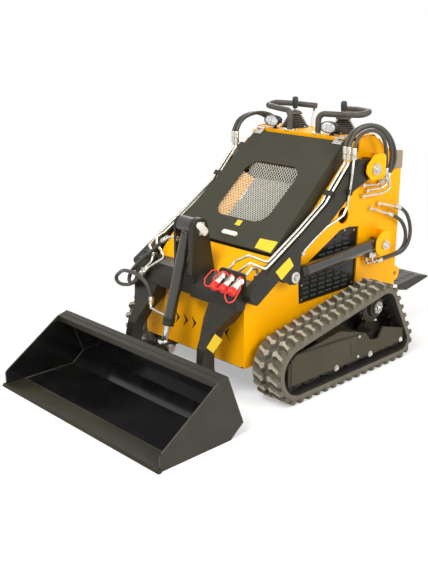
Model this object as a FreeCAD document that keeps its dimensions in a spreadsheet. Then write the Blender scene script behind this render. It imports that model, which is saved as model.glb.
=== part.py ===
"""Stand-on mini track loader, built as separate pieces in millimetres.

The front of the machine looks along -Y, its left side is +X and up is +Z.
The origin is on the ground, under the middle of the machine.
"""
import FreeCAD, Part
import math
import os

import Sketcher
from FreeCAD import Vector

doc = FreeCAD.newDocument("MiniTrackLoader")
sheet = doc.addObject("Spreadsheet::Sheet", "Dims")

# ---------------------------------------------------------------- driving dimensions
# name, value in millimetres (degrees for angles), what it is
DIMENSIONS = [
    # tracks and their frames
    ("track_reach", 515, "centre line to the outer edge of a track"),
    ("track_wide", 155, "width of one rubber track"),
    ("band_thick", 25, "rubber band without its lugs"),
    ("lug_high", 20, "height of a track lug"),
    ("idler_front_y", -212, "front idler, place along the machine"),
    ("idler_front_wrap", 150, "front idler to the lug tips"),
    ("idler_rear_y", 535, "rear idler, place along the machine"),
    ("idler_rear_wrap", 88, "rear idler to the lug tips"),
    ("sprocket_y", 385, "drive sprocket, place along the machine"),
    ("sprocket_z", 288, "drive sprocket, height"),
    ("sprocket_wrap", 122, "drive sprocket to the lug tips"),
    ("wheel_gap", 0.3, "running gap between a track and what it runs on"),
    ("wheel_wide", 60, "width of idlers, rollers and sprocket"),
    ("roller_count", 4, "bottom rollers in each track frame"),
    ("roller_wide_gap", 12, "gap between neighbouring rollers"),
    ("frame_reach", 505, "centre line to the face of a track frame"),
    ("frame_plate", 10, "plate thickness of a track frame"),
    # lower chassis
    ("body_half", 325, "centre line to the outside of the side plates"),
    ("plate_side", 8, "side plate thickness"),
    ("body_front", -372, "front panel, outer face"),
    ("body_low", 150, "lower edge of the body"),
    ("body_rear", 710, "rear face of the body"),
    ("body_shoulder", 440, "height where the front panel leans back"),
    ("body_top", 979, "top of the rear panel"),
    ("panel_sheet", 5, "thickness of body panels"),
    ("floor_plate", 12, "thickness of the floor plate"),
    ("axle_front_y", -160, "front cross tube under the floor"),
    ("axle_rear_y", 300, "rear cross tube under the floor"),
    ("axle_tube_wide", 80, "width of a cross tube under the floor"),
    ("axle_tube_deep", 50, "depth of a cross tube under the floor"),
    ("hose_hole_y", 275, "hose hole in a side plate"),
    ("hose_hole_z", 725, "hose hole in a side plate"),
    ("hose_hole", 38, "radius of the hose hole"),
    ("grille_lap", 10, "how far a side grille laps behind its opening"),
    ("grille_thick", 4, "thickness of a side grille"),
    ("chevron_wide", 27, "width of a chevron cut-out in the front panel"),
    ("chevron_high", 22, "half height of a chevron cut-out"),
    ("chevron_z", 280, "height of the chevrons' tips"),
    ("engine_half", 210, "half width of the engine"),
    ("engine_front", -110, "front of the engine"),
    ("engine_long", 460, "length of the engine"),
    ("engine_high", 410, "height of the engine"),
    # boss cheeks, lashing ears and pins
    ("tower_reach", 402, "centre line to the outside of a boss cheek"),
    ("tower_plate", 6, "thickness of a boss cheek"),
    ("cheek_web", 8, "thickness of the web behind a boss cheek"),
    ("pivot_web_back", 62, "arm pivot to the web behind it"),
    ("base_web_back", 40, "lift cylinder's base pin to the web behind it"),
    ("tie_ear_y", 712, "lashing ear, place along the machine"),
    ("tie_ear_z", 357, "lashing ear, height"),
    ("tie_ear_radius", 37, "radius of the lashing ear"),
    ("tie_hole", 12, "radius of the lashing hole"),
    ("pin_head", 9, "thickness of a pin's head"),
    ("pin_lip", 9, "how far a pin's head reaches past the pin"),
    ("pivot_y", 397, "arm pivot, place along the machine"),
    ("pivot_z", 934, "arm pivot, height"),
    ("pin_radius", 19, "radius of the arm pivot pins"),
    ("pin_gap", 0.1, "radial running gap of a pin"),
    # lift arms
    ("arm_middle", 360, "centre line to the middle of an arm"),
    ("arm_wide", 48, "width of an arm"),
    ("rod_ear_plate", 8, "thickness of the ears that hold a lift rod's eye"),
    ("arm_eye", 50, "radius of the arm's rounded rear end"),
    # lift cylinders
    ("lift_base_y", 500, "lift cylinder base pin"),
    ("lift_base_z", 560, "lift cylinder base pin"),
    ("lift_eye_y", -122, "lift cylinder rod pin"),
    ("lift_eye_z", 525, "lift cylinder rod pin"),
    ("lift_bore", 29, "outer radius of a lift cylinder barrel"),
    ("lift_rod", 13, "radius of a lift cylinder rod"),
    ("lift_pin", 14, "radius of a lift cylinder pin"),
    ("lift_base_eye_half", 30, "half width of a lift cylinder's base eye"),
    ("lift_rod_eye_half", 14, "half width of a lift rod's eye"),
    ("eye_wall", 13, "wall round the bore of a cylinder eye"),
    ("lift_nose", 32, "rod that shows between a lift barrel and its rod eye at rest"),
    ("tilt_nose", 70, "rod that shows between the tilt barrel and its rod eye at rest"),
    ("rod_play", 0.05, "radial running gap of a rod in its barrel"),
    # cross member, ears, legs
    ("cross_front", -428, "front face of the cross member"),
    ("cross_deep", 128, "depth of the cross member"),
    ("cross_low", 430, "underside of the cross member"),
    ("cross_high", 98, "height of the cross member"),
    ("cross_chamfer", 44, "sloped upper front edge of the cross member"),
    ("ear_half", 78, "centre line to the outside of a tilt ear"),
    ("ear_plate", 30, "thickness of the left tilt ear, which carries the pin's flag"),
    ("thin_ear", 12, "thickness of the right tilt ear"),
    ("thin_ear_inner", 47, "centre line to the inner face of the right tilt ear"),
    ("thin_ear_boss", 35, "radius of the right tilt ear round its pin"),
    ("ear_boss", 43, "radius of the left tilt ear round its pin"),
    ("tilt_top_y", -390, "tilt cylinder upper pin"),
    ("tilt_top_z", 737, "tilt cylinder upper pin"),
    ("tilt_eye_y", -545, "tilt cylinder lower pin"),
    ("tilt_eye_z", 217, "tilt cylinder lower pin"),
    ("tilt_bore", 26, "outer radius of the tilt cylinder barrel"),
    ("tilt_rod_radius", 14, "radius of the tilt cylinder rod"),
    ("tilt_pin", 12, "radius of the tilt cylinder pins"),
    ("tilt_base_eye_half", 42, "half width of the tilt cylinder's upper eye"),
    ("tilt_base_ring", 36, "outer radius of the tilt cylinder's upper eye"),
    ("tilt_rod_eye_half", 24, "half width of the tilt rod's eye"),
    ("tilt_retract", 46, "how far the tilt rod can still go in from rest"),
    ("eye_gap", 4, "gap beside the tilt rod's eye"),
    ("recess_half", 50, "half width of the recess that the tilt cylinder swings into"),
    ("recess_deep", 20, "depth of that recess"),
    ("leg_reach", 260, "centre line to the outer face of a leg"),
    ("leg_top_reach", 170, "centre line to the inner face of a leg at its top"),
    ("leg_low_reach", 235, "centre line to the inner face of a leg at its foot"),
    ("foot_y", -492, "bucket pivot at the foot of a leg"),
    ("foot_z", 85, "bucket pivot at the foot of a leg"),
    ("foot_radius", 34, "radius of a leg's rounded foot"),
    ("foot_pin", 14, "radius of the bucket's pivot pins"),
    ("foot_gap", 5, "gap between a leg's foot and the ears beside it"),
    # bucket
    ("bucket_half", 543, "centre line to the outside of a bucket cheek"),
    ("bucket_front", -1030, "front of the bucket floor"),
    ("bucket_sheet", 8, "thickness of the bucket sheet"),
    ("bucket_heel_y", -665, "rear end of the flat bucket floor"),
    ("cheek_front_z", 72, "height of a bucket cheek at its front"),
    ("lip_deep", 52, "depth of the folded upper lip"),
    ("bucket_knee_y", -593, "rearmost line of the bucket"),
    ("bucket_knee_z", 55, "rearmost line of the bucket"),
    ("bucket_lip_y", -680, "top lip of the bucket"),
    ("bucket_lip_z", 279, "top lip of the bucket"),
    ("edge_deep", 110, "depth of the cutting edge"),
    ("edge_thick", 12, "thickness of the cutting edge"),
    ("edge_half", 550, "half length of the cutting edge"),
    ("edge_proud", 16, "how far the cutting edge stands ahead of the cheeks"),
    ("attach_half", 285, "half width of the attach plate"),
    ("attach_sheet", 10, "thickness of the attach plate"),
    ("ear_wall", 12, "thickness of the bucket's pivot ears"),
    # upper body
    ("hood_top_y", 325, "upper edge of the hood"),
    ("hood_top_z", 1063, "upper edge of the hood"),
    ("hood_low_y", -202, "lower edge of the hood"),
    ("hood_low_z", 633, "lower edge of the hood"),
    ("hood_top_half", 278, "half width of the hood at its upper edge"),
    ("hood_low_half", 321, "half width of the hood at its lower edge"),
    ("hood_sheet", 4, "thickness of the hood sheet"),
    ("hood_skirt", 62, "depth of the hood's turned edge"),
    ("hood_inset", 12, "hood sheet stops this far from its hinge line"),
    ("window_half", 165, "half width of the hood's window"),
    ("window_low", 140, "lower edge of the window, up the slope"),
    ("window_high", 480, "upper edge of the window, up the slope"),
    ("window_corner", 70, "corner radius of the window"),
    ("mesh_lap", 12, "how far the mesh reaches under the hood sheet"),
    ("mesh_thick", 3, "thickness of the mesh"),
    ("deck_front", 336, "front edge of the top deck"),
    ("deck_bend", 535, "line where the top deck bends down"),
    ("deck_fall_y", 604, "foot of the steep part of the deck"),
    ("deck_fall_z", 1000, "foot of the steep part of the deck"),
    ("pad_thick", 6, "thickness of the rubber pads on the rear corners"),
    ("deck_top", 1070, "top face of the top deck"),
    ("deck_half", 286, "half width of the top deck"),
    # platform
    ("step_hinge_y", 772, "platform hinge"),
    ("step_hinge_z", 262, "platform hinge"),
    ("step_half", 300, "half width of the platform"),
    ("step_long", 285, "length of the platform"),
    ("step_tilt", 4, "slope of the platform, in degrees"),
    ("step_lug_reach", 250, "centre line to the middle of a platform lug"),
    ("step_pin", 8, "radius of the platform's hinge pins"),
    ("step_flange", 42, "depth of the platform's side flanges"),
    ("step_front", 24, "platform sheet starts this far from its hinge"),
    ("step_rise", 4.5, "underside of the platform sheet above its hinge"),
    ("step_bend", 206, "line where the platform bends down"),
    ("step_sheet", 5, "thickness of the platform sheet"),
    # lamps, controls, tubes and hoses
    ("lamp_x", 175, "centre line to the middle of a lamp"),
    ("lamp_z", 1111, "height of the lamps"),
    ("lamp_radius", 29, "radius of a lamp"),
    ("lamp_long", 66, "length of a lamp's body"),
    ("lever_x", 152, "centre line to a control lever"),
    ("lever_y", 465, "control levers, place along the machine"),
    ("lever_top", 1219, "top of a control lever's knob"),
    ("bellows_radius", 68, "radius of a lever's rubber bellows at its base"),
    ("bellows_high", 82, "height of the bellows"),
    ("bar_radius", 14, "radius of the hand bars"),
    ("bar_strut", 5, "radius of the strut under a hand bar's rear end"),
    ("tube_radius", 6, "radius of the steel hydraulic tubes"),
    ("hose_radius", 9, "radius of the hydraulic hoses"),
    ("ferrule_radius", 9.8, "radius of the hose ferrules"),
    ("union_radius", 10, "radius of the unions on the steel tubes"),
    ("tube_low_x", 342, "steel tube nearer the hood on an arm"),
    ("tube_high_x", 364, "steel tube farther from the hood on an arm"),
    ("coupler_radius", 17, "radius of the quick couplers"),
    ("coupler_long", 88, "length of a quick coupler"),
    ("coupler_cap", 19, "radius of a quick coupler's cap"),
    ("coupler_cap_long", 27, "length of a quick coupler's cap"),
    ("leash", 2.5, "radius of a rubber leash that holds a cap"),
    ("coupler_y", -383, "rear end of the quick couplers"),
    ("coupler_z", 566, "rear end of the quick couplers"),
    ("coupler_heading", 213.4, "way the quick couplers point, from +Y, in degrees"),
    ("coupler_plate", 8, "thickness of the coupler bracket"),
    ("ear_tube_hole", 12, "hole in the right tilt ear for the cylinder's tube"),
]

for row, (name, number, meaning) in enumerate(DIMENSIONS, start=1):
    sheet.set(f"A{row}", name)
    sheet.set(f"B{row}", str(number))
    sheet.set(f"C{row}", meaning)
    sheet.setAlias(f"B{row}", name)
doc.recompute()


class Size:
    """A number together with the sheet expression that makes it."""

    def __init__(self, number, text):
        self.number = number
        self.text = text

    def __add__(self, other):
        other = size(other)
        return Size(self.number + other.number, f"({self.text} + {other.text})")

    def __sub__(self, other):
        other = size(other)
        return Size(self.number - other.number, f"({self.text} - {other.text})")

    def __mul__(self, other):
        other = size(other)
        return Size(self.number * other.number, f"({self.text} * {other.text})")

    def __truediv__(self, other):
        other = size(other)
        return Size(self.number / other.number, f"({self.text} / {other.text})")

    def __neg__(self):
        return Size(-self.number, f"(0 - {self.text})")

    def __radd__(self, other):
        return size(other) + self

    def __rsub__(self, other):
        return size(other) - self

    def __rmul__(self, other):
        return size(other) * self


def size(value):
    """A Size as it is, or a plain number as a Size."""
    if isinstance(value, Size):
        return value
    return Size(float(value), f"({float(value)!r})")


def sine(angle):
    return Size(math.sin(math.radians(angle.number)), f"sin(1deg * {angle.text})")


def cosine(angle):
    return Size(math.cos(math.radians(angle.number)), f"cos(1deg * {angle.text})")


def distance(start, end):
    """Distance between two (y, z) points."""
    dy, dz = end[0] - start[0], end[1] - start[1]
    square = dy * dy + dz * dz
    return Size(math.sqrt(square.number), f"sqrt({square.text})")


def bearing(start, end):
    """Angle in degrees from +Y towards +Z of the line between two (y, z) points."""
    dy, dz = end[0] - start[0], end[1] - start[1]
    return Size(math.degrees(math.atan2(dz.number, dy.number)), f"(atan2({dz.text}; {dy.text}) / 1deg)")


def along(start, angle, reach, aside=0):
    """The point at a distance along a bearing, and a distance aside to its left."""
    reach, aside = size(reach), size(aside)
    return (start[0] + cosine(angle) * reach - sine(angle) * aside,
            start[1] + sine(angle) * reach + cosine(angle) * aside)


class Dimensions:
    """Gives each cell of the sheet as a Size, by its alias."""

    def __getattr__(self, name):
        return Size(float(sheet.get(name)), f"Dims.{name}")


D = Dimensions()
nodes = {}


def node(label, thing):
    """Names the object that is written as one sub-part."""
    thing.Label = label
    nodes[label] = thing
    return thing


def bind(thing, **sizes):
    for prop, value in sizes.items():
        value = size(value)
        thing.setExpression(prop.replace("__", "."), value.text)


# ---------------------------------------------------------------- solid helpers
PLANES = {"YZ": "YZ_Plane", "XZ": "XZ_Plane", "XY": "XY_Plane"}


def new_sketch(body, plane, offset):
    sketch = body.newObject("Sketcher::SketchObject", body.Name + "Sketch")
    role = PLANES[plane]
    datum = [item for item in body.Origin.OriginFeatures if item.Role == role][0]
    sketch.AttachmentSupport = [(datum, "")]
    sketch.MapMode = "FlatFace"
    bind(sketch, AttachmentOffset__Base__z=offset)
    return sketch


def draw_polygon(sketch, points):
    """Closed outline whose corners are bound to the sheet."""
    first = sketch.GeometryCount
    corners = [Vector(u.number, v.number, 0) for u, v in points]
    count = len(corners)
    for index in range(count):
        sketch.addGeometry(Part.LineSegment(corners[index], corners[(index + 1) % count]), False)
    for index in range(count):
        following = first + (index + 1) % count
        sketch.addConstraint(Sketcher.Constraint("Coincident", first + index, 2, following, 1))
    for index, (u, v) in enumerate(points):
        for kind, value in (("DistanceX", u), ("DistanceY", v)):
            place = sketch.addConstraint(
                Sketcher.Constraint(kind, -1, 1, first + index, 1, value.number))
            sketch.setExpression(f"Constraints[{place}]", value.text)


def draw_circle(sketch, centre, radius):
    index = sketch.addGeometry(
        Part.Circle(Vector(centre[0].number, centre[1].number, 0), Vector(0, 0, 1), radius.number), False)
    for kind, value in (("DistanceX", centre[0]), ("DistanceY", centre[1])):
        place = sketch.addConstraint(Sketcher.Constraint(kind, -1, 1, index, 3, value.number))
        sketch.setExpression(f"Constraints[{place}]", value.text)
    place = sketch.addConstraint(Sketcher.Constraint("Radius", index, radius.number))
    sketch.setExpression(f"Constraints[{place}]", radius.text)


def pairs(points):
    return [(size(u), size(v)) for u, v in points]


def slab(name, plane, points, low, thick, holes=(), round_corners=()):
    """A plate: an outline on a plane, padded from low by thick.

    holes lists (centre, radius). round_corners lists (corner, radius).
    On XZ the pad grows towards -Y, so low is minus the y of its rear face.
    """
    body = doc.addObject("PartDesign::Body", name)
    sketch = new_sketch(body, plane, low)
    draw_polygon(sketch, pairs(points))
    for centre, radius in holes:
        draw_circle(sketch, pairs([centre])[0], size(radius))
    pad = body.newObject("PartDesign::Pad", name + "Pad")
    pad.Profile = sketch
    bind(pad, Length=thick)
    sketch.Visibility = False
    if round_corners:
        doc.recompute()
        by_radius = {}
        for corner, radius in round_corners:
            by_radius.setdefault(size(radius).text, (size(radius), []))[1].append(pairs([corner])[0])
        for radius, corners in by_radius.values():
            doc.recompute()
            tip = body.Tip
            fillet = body.newObject("PartDesign::Fillet", name + "Round")
            fillet.Base = (tip, edges_at(tip.Shape, plane, corners))
            bind(fillet, Radius=radius)
            body.Tip = fillet
    return body


def edges_at(shape, plane, corners):
    """Names of the straight edges that stand on the plane at the given corners."""
    pick = {"YZ": (1, 2, 1), "XZ": (0, 2, 1), "XY": (0, 1, 1)}[plane]
    found = []
    for index, edge in enumerate(shape.Edges, start=1):
        start, end = edge.Vertexes[0].Point, edge.Vertexes[-1].Point
        for u, v in corners:
            near = [math.hypot(point[pick[0]] - u.number, point[pick[1]] - v.number) < 0.01
                    for point in (start, end)]
            if all(near) and (start - end).Length > 0.01:
                found.append(f"Edge{index}")
    return found


def box(name, x, y, z, long_x, long_y, long_z):
    thing = doc.addObject("Part::Box", name)
    bind(thing, Length=long_x, Width=long_y, Height=long_z,
         Placement__Base__x=x, Placement__Base__y=y, Placement__Base__z=z)
    return thing


def rod_x(name, x, centre, radius, long):
    """A cylinder along +X from x."""
    thing = doc.addObject("Part::Cylinder", name)
    thing.Placement.Rotation = FreeCAD.Rotation(Vector(0, 1, 0), 90)
    bind(thing, Radius=radius, Height=long,
         Placement__Base__x=x, Placement__Base__y=centre[0], Placement__Base__z=centre[1])
    return thing


def ring_x(name, x, centre, inner, outer, long):
    """A tube along +X from x."""
    return cut(name, rod_x(name + "Outer", x, centre, outer, long),
               rod_x(name + "Bore", size(x) - 1, centre, inner, size(long) + 2))


def rod_yz(name, x, start, angle, radius, long):
    """A cylinder at one x, from a (y, z) point along a bearing."""
    thing = doc.addObject("Part::Cylinder", name)
    thing.Placement.Rotation = FreeCAD.Rotation(Vector(1, 0, 0), angle.number - 90)
    bind(thing, Radius=radius, Height=long, Placement__Base__x=x,
         Placement__Base__y=start[0], Placement__Base__z=start[1],
         Placement__Rotation__Angle=angle - 90)
    return thing


def rod_z(name, x, y, z, radius, long):
    thing = doc.addObject("Part::Cylinder", name)
    bind(thing, Radius=radius, Height=long,
         Placement__Base__x=x, Placement__Base__y=y, Placement__Base__z=z)
    return thing


def fuse(name, *things):
    thing = doc.addObject("Part::MultiFuse", name)
    thing.Shapes = list(things)
    return thing


def cut(name, base, *tools):
    thing = doc.addObject("Part::Cut", name)
    thing.Base = base
    thing.Tool = tools[0] if len(tools) == 1 else fuse(name + "Tools", *tools)
    return thing


def group(name, *things):
    """Solids that don't touch, kept in one sub-part."""
    thing = doc.addObject("Part::Compound", name)
    thing.Links = list(things)
    return thing


def mirrored(name, source):
    thing = doc.addObject("Part::Mirroring", name)
    thing.Source = source
    thing.Normal = Vector(1, 0, 0)
    thing.Base = Vector(0, 0, 0)
    return thing


def rod_y(name, x, y, z, radius, long):
    """A cylinder along +Y."""
    thing = doc.addObject("Part::Cylinder", name)
    thing.Placement.Rotation = FreeCAD.Rotation(Vector(1, 0, 0), -90)
    bind(thing, Radius=radius, Height=long,
         Placement__Base__x=x, Placement__Base__y=y, Placement__Base__z=z)
    return thing


def cone_z(name, x, y, z, low_radius, high_radius, high):
    thing = doc.addObject("Part::Cone", name)
    bind(thing, Radius1=low_radius, Radius2=high_radius, Height=high,
         Placement__Base__x=x, Placement__Base__y=y, Placement__Base__z=z)
    return thing


def tilted(thing, start, angle):
    """Turns a piece about X by an angle and puts its origin at a (y, z) point."""
    thing.Placement.Rotation = FreeCAD.Rotation(Vector(1, 0, 0), angle.number)
    bind(thing, Placement__Base__y=start[0], Placement__Base__z=start[1],
         Placement__Rotation__Angle=angle)
    return thing


def offset_points(points, reach, closed):
    """Each corner of an outline moved to its left by a mitred distance."""
    count = len(points)
    sides = []
    for index in range(count if closed else count - 1):
        start, end = points[index], points[(index + 1) % count]
        dy, dz = end[0].number - start[0].number, end[1].number - start[1].number
        long = math.hypot(dy, dz)
        sides.append((-dz / long, dy / long))
    moved = []
    for index, (u, v) in enumerate(points):
        before = sides[index - 1] if closed or index > 0 else sides[0]
        after = sides[index] if closed or index < count - 1 else sides[-1]
        mitre = 1 + before[0] * after[0] + before[1] * after[1]
        moved.append((u + size(reach) * ((before[0] + after[0]) / mitre),
                      v + size(reach) * ((before[1] + after[1]) / mitre)))
    return moved


def inset(points, reach):
    """An anticlockwise outline made smaller by a distance."""
    return offset_points(pairs(points), reach, True)


def folded(points, thick):
    """Outline of a folded sheet that lies to the left of an open line."""
    line = pairs(points)
    return line + offset_points(line, thick, False)[::-1]


def bent_wire(points, bend=None):
    """Straight runs joined by tangent arcs.

    Without a bend radius each arc is as large as its two runs allow.
    """
    corners = [Vector(*(size(value).number for value in point)) for point in points]
    edges = []
    radii = []
    start = corners[0]
    for before, corner, after in zip(corners, corners[1:], corners[2:]):
        back, ahead = (before - corner), (after - corner)
        turn = math.pi - back.getAngle(ahead)
        room = 0.45 * min(back.Length, ahead.Length)
        radius = room / math.tan(turn / 2)
        if bend:
            radius = min(radius, size(bend).number)
        trim = radius * math.tan(turn / 2)
        back.normalize()
        ahead.normalize()
        enter, leave = corner + back * trim, corner + ahead * trim
        middle = corner + (back + ahead).normalize() * (radius / math.cos(turn / 2) - radius)
        edges.append(Part.LineSegment(start, enter).toShape())
        edges.append(Part.Arc(enter, middle, leave).toShape())
        radii.append(radius)
        start = leave
    edges.append(Part.LineSegment(start, corners[-1]).toShape())
    return Part.Wire(edges), radii


def tube(name, points, radius, bend=None):
    """A round bar, tube or hose along a route, with its volume checked."""
    wire, radii = bent_wire(points, bend)
    radius = size(radius).number
    first = wire.Edges[0]
    heading = first.tangentAt(first.FirstParameter)
    section = Part.Wire(Part.makeCircle(radius, first.Vertexes[0].Point, heading))
    shape = wire.makePipeShell([section], True, False)
    wanted = math.pi * radius ** 2 * wire.Length
    if abs(shape.Volume / wanted - 1) > 0.01:
        raise RuntimeError(f"{name}: volume {shape.Volume} where {wanted} is due")
    print(name, "length", round(wire.Length), "radii", [round(value) for value in radii])
    thing = doc.addObject("Part::Feature", name)
    thing.Shape = shape
    return thing


def both_sides(stem, make):
    """One sub-part on the left side and its mirror image on the right side."""
    left = node(stem + "_left", make)
    right = node(stem + "_right", mirrored(make.Name + "Mirror", make))
    return left, right


def with_mirror(name, thing):
    """One sub-part that holds a piece and its mirror image."""
    return group(name, thing, mirrored(thing.Name + "Mirror", thing))


# ---------------------------------------------------------------- tracks
def belt_points(wheels):
    """Tangent points of a belt round three (centre, radius) wheels, listed anticlockwise."""
    lines = []
    for index, (centre, radius) in enumerate(wheels):
        other, other_radius = wheels[(index + 1) % len(wheels)]
        dy = other[0].number - centre[0].number
        dz = other[1].number - centre[1].number
        span = math.hypot(dy, dz)
        lean = math.atan2(dz, dy) - math.acos((radius.number - other_radius.number) / span)
        side = Vector(math.cos(lean), math.sin(lean), 0)
        start = Vector(centre[0].number, centre[1].number, 0) + side * radius.number
        end = Vector(other[0].number, other[1].number, 0) + side * other_radius.number
        lines.append((start, end))
    return lines


def draw_belt(sketch, wheels):
    """A closed belt: tangent lines and arcs, with the arcs' centres and radii bound."""
    lines = belt_points(wheels)
    first = sketch.GeometryCount
    count = len(wheels)
    for start, end in lines:
        sketch.addGeometry(Part.LineSegment(start, end), False)
    for index, (centre, radius) in enumerate(wheels):
        middle = Vector(centre[0].number, centre[1].number, 0)
        arrive, leave = lines[index - 1][1] - middle, lines[index][0] - middle
        turn = (math.atan2(arrive.y, arrive.x), math.atan2(leave.y, leave.x))
        arc = Part.ArcOfCircle(Part.Circle(middle, Vector(0, 0, 1), radius.number), *turn)
        sketch.addGeometry(arc, False)
    for index, (centre, radius) in enumerate(wheels):
        line, arc, before = first + index, first + count + index, first + (index - 1) % count
        sketch.addConstraint(Sketcher.Constraint("Tangent", before, 2, arc, 1))
        sketch.addConstraint(Sketcher.Constraint("Tangent", arc, 2, line, 1))
        for kind, value in (("DistanceX", centre[0]), ("DistanceY", centre[1])):
            place = sketch.addConstraint(Sketcher.Constraint(kind, -1, 1, arc, 3, value.number))
            sketch.setExpression(f"Constraints[{place}]", value.text)
        place = sketch.addConstraint(Sketcher.Constraint("Radius", arc, radius.number))
        sketch.setExpression(f"Constraints[{place}]", radius.text)


front_wheel = (D.idler_front_y, D.idler_front_wrap)
rear_wheel = (D.idler_rear_y, D.idler_rear_wrap)
drive_wheel = (D.sprocket_y, D.sprocket_z)
loop = [(front_wheel, D.idler_front_wrap), (rear_wheel, D.idler_rear_wrap),
        (drive_wheel, D.sprocket_wrap)]
track_full = D.band_thick + D.lug_high
track_inner = D.track_reach - D.track_wide
track_middle = D.track_reach - D.track_wide / 2


def make_track():
    body = doc.addObject("PartDesign::Body", "Track")
    sketch = new_sketch(body, "YZ", track_inner)
    draw_belt(sketch, loop)
    draw_belt(sketch, [(centre, wrap - track_full) for centre, wrap in loop])
    pad = body.newObject("PartDesign::Pad", "TrackPad")
    pad.Profile = sketch
    bind(pad, Length=D.track_wide)
    return body


both_sides("track", make_track())

wheel_low = track_middle - D.wheel_wide / 2
hub_radius = size(30)


def make_rollers():
    """Front idler, rear idler and the bottom rollers on their axle tubes."""
    wheels = []
    for name, (centre, wrap) in (("IdlerFront", loop[0]), ("IdlerRear", loop[1])):
        radius = wrap - track_full - D.wheel_gap
        wheels.append(rod_x(name, wheel_low, centre, radius, D.wheel_wide))
    free = D.idler_rear_y - D.idler_front_y - D.idler_front_wrap
    pitch = free / D.roller_count
    radius = pitch / 2 - D.roller_wide_gap / 2
    for index in range(int(D.roller_count.number)):
        centre = (D.idler_front_y + D.idler_front_wrap * 0.75 + pitch * index,
                  track_full + D.wheel_gap + radius)
        wheels.append(rod_x(f"Roller{index}", wheel_low, centre, radius, D.wheel_wide))
    return group("Rollers", *wheels)


both_sides("rollers", make_rollers())


def make_sprocket():
    radius = D.sprocket_wrap - track_full - D.wheel_gap
    disc = rod_x("SprocketDisc", wheel_low, drive_wheel, radius, D.wheel_wide / 2)
    hub = rod_x("SprocketHub", D.body_half, drive_wheel, radius * 0.62,
                wheel_low - D.body_half + D.wheel_wide * 0.9)
    return fuse("Sprocket", disc, hub)


both_sides("sprocket", make_sprocket())


def make_track_frame():
    """Boxed side plates of the roller frame, with the arm that carries it on the axle tubes."""
    outline = [(-284, 95), (497, 83), (552, 105), (545, 155), (386, 200), (350, 150), (286, 160),
               (248, 206), (57, 262), (-240, 228), (-284, 196)]
    outer = slab("FrameOuter", "YZ", outline, D.frame_reach - D.frame_plate, D.frame_plate)
    inner_low = track_inner + 10
    inner = slab("FrameInner", "YZ", outline, inner_low, D.frame_plate)
    core = slab("FrameCore", "YZ", [(-70, 186), (240, 186), (240, 205), (57, 255), (-70, 242)],
                inner_low + D.frame_plate, D.frame_reach - inner_low - D.frame_plate * 2)
    return fuse("TrackFrame", outer, inner, core)


both_sides("track_frame", make_track_frame())

# ---------------------------------------------------------------- chassis
pivot = (D.pivot_y, D.pivot_z)
lift_base = (D.lift_base_y, D.lift_base_z)
lift_eye = (D.lift_eye_y, D.lift_eye_z)
hood_top = (D.hood_top_y, D.hood_top_z)
hood_low = (D.hood_low_y, D.hood_low_z)
hood_slope = bearing(hood_low, hood_top)
hood_long = distance(hood_low, hood_top)
plate_inner = D.body_half - D.plate_side
cheek_inner = D.tower_reach - D.tower_plate
panel_rear = D.body_front + D.panel_sheet
rim_drop = -(D.hood_sheet + D.hood_skirt + 6)
grille_hole = [(-20, 362), (388, 362), (394, 655), (325, 665), (257, 661), (37, 552), (-30, 470)]


def from_pivot(dy, dz):
    return (D.pivot_y + dy, D.pivot_z + dz)


def from_base(dy, dz):
    return (D.lift_base_y + dy, D.lift_base_z + dz)


def make_side_plate():
    """Side plate of the body with its inward rim beside the hood and its lashing ear."""
    rim_low = along(hood_low, hood_slope, 0, rim_drop)
    rim_high = along(hood_low, hood_slope, hood_long, rim_drop)
    outline = [(panel_rear, D.body_low), (D.body_rear - 70, D.body_low),
               (D.body_rear, D.body_low + 70), (D.body_rear, D.body_top),
               (D.deck_fall_y, D.body_top + 11), from_pivot(160, 88), from_pivot(128, 113),
               from_pivot(92, 133), from_pivot(50, 138), from_pivot(-20, 136), rim_high, rim_low,
               (panel_rear, D.body_shoulder)]
    tie_ear = (D.tie_ear_y, D.tie_ear_z)
    plate = slab("SidePlate", "YZ", outline, plate_inner, D.plate_side)
    ear = rod_x("TieEar", plate_inner, tie_ear, D.tie_ear_radius, D.plate_side)
    opening = slab("GrilleOpening", "YZ", grille_hole, plate_inner - 1, D.plate_side + 2)
    drills = [rod_x(name, plate_inner - 1, centre, radius, D.plate_side + 2)
              for name, centre, radius in (("PivotDrill", pivot, D.pin_radius),
                                           ("BaseDrill", lift_base, D.lift_pin),
                                           ("TieHole", tie_ear, D.tie_hole),
                                           ("HoseHole", (D.hose_hole_y, D.hose_hole_z),
                                            D.hose_hole))]
    rim_deep = D.body_half - D.hood_top_half
    rim = slab("SideRim", "YZ",
               folded([along(hood_low, hood_slope, 0, rim_drop - D.panel_sheet),
                       along(hood_low, hood_slope, hood_long, rim_drop - D.panel_sheet)],
                      D.panel_sheet),
               D.body_half - rim_deep, rim_deep - D.plate_side)
    return fuse("SidePlateRim", cut("SidePlateCut", fuse("SidePlateEar", plate, ear), opening,
                                    *drills), rim)


both_sides("side_plate", make_side_plate())


def make_boss_cheek(name, outline, rounds, centre, radius, web_back, web_low, web_high):
    """Cheek that holds the outer end of a pin, on a web that stands on the side plate."""
    cheek = slab(name + "Plate", "YZ", outline, cheek_inner, D.tower_plate,
                 holes=[(centre, radius)], round_corners=rounds)
    web = box(name + "Web", D.body_half, centre[0] + web_back, centre[1] - web_low,
              cheek_inner - D.body_half, D.cheek_web, size(web_low) + web_high)
    return fuse(name, cheek, web)


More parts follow.
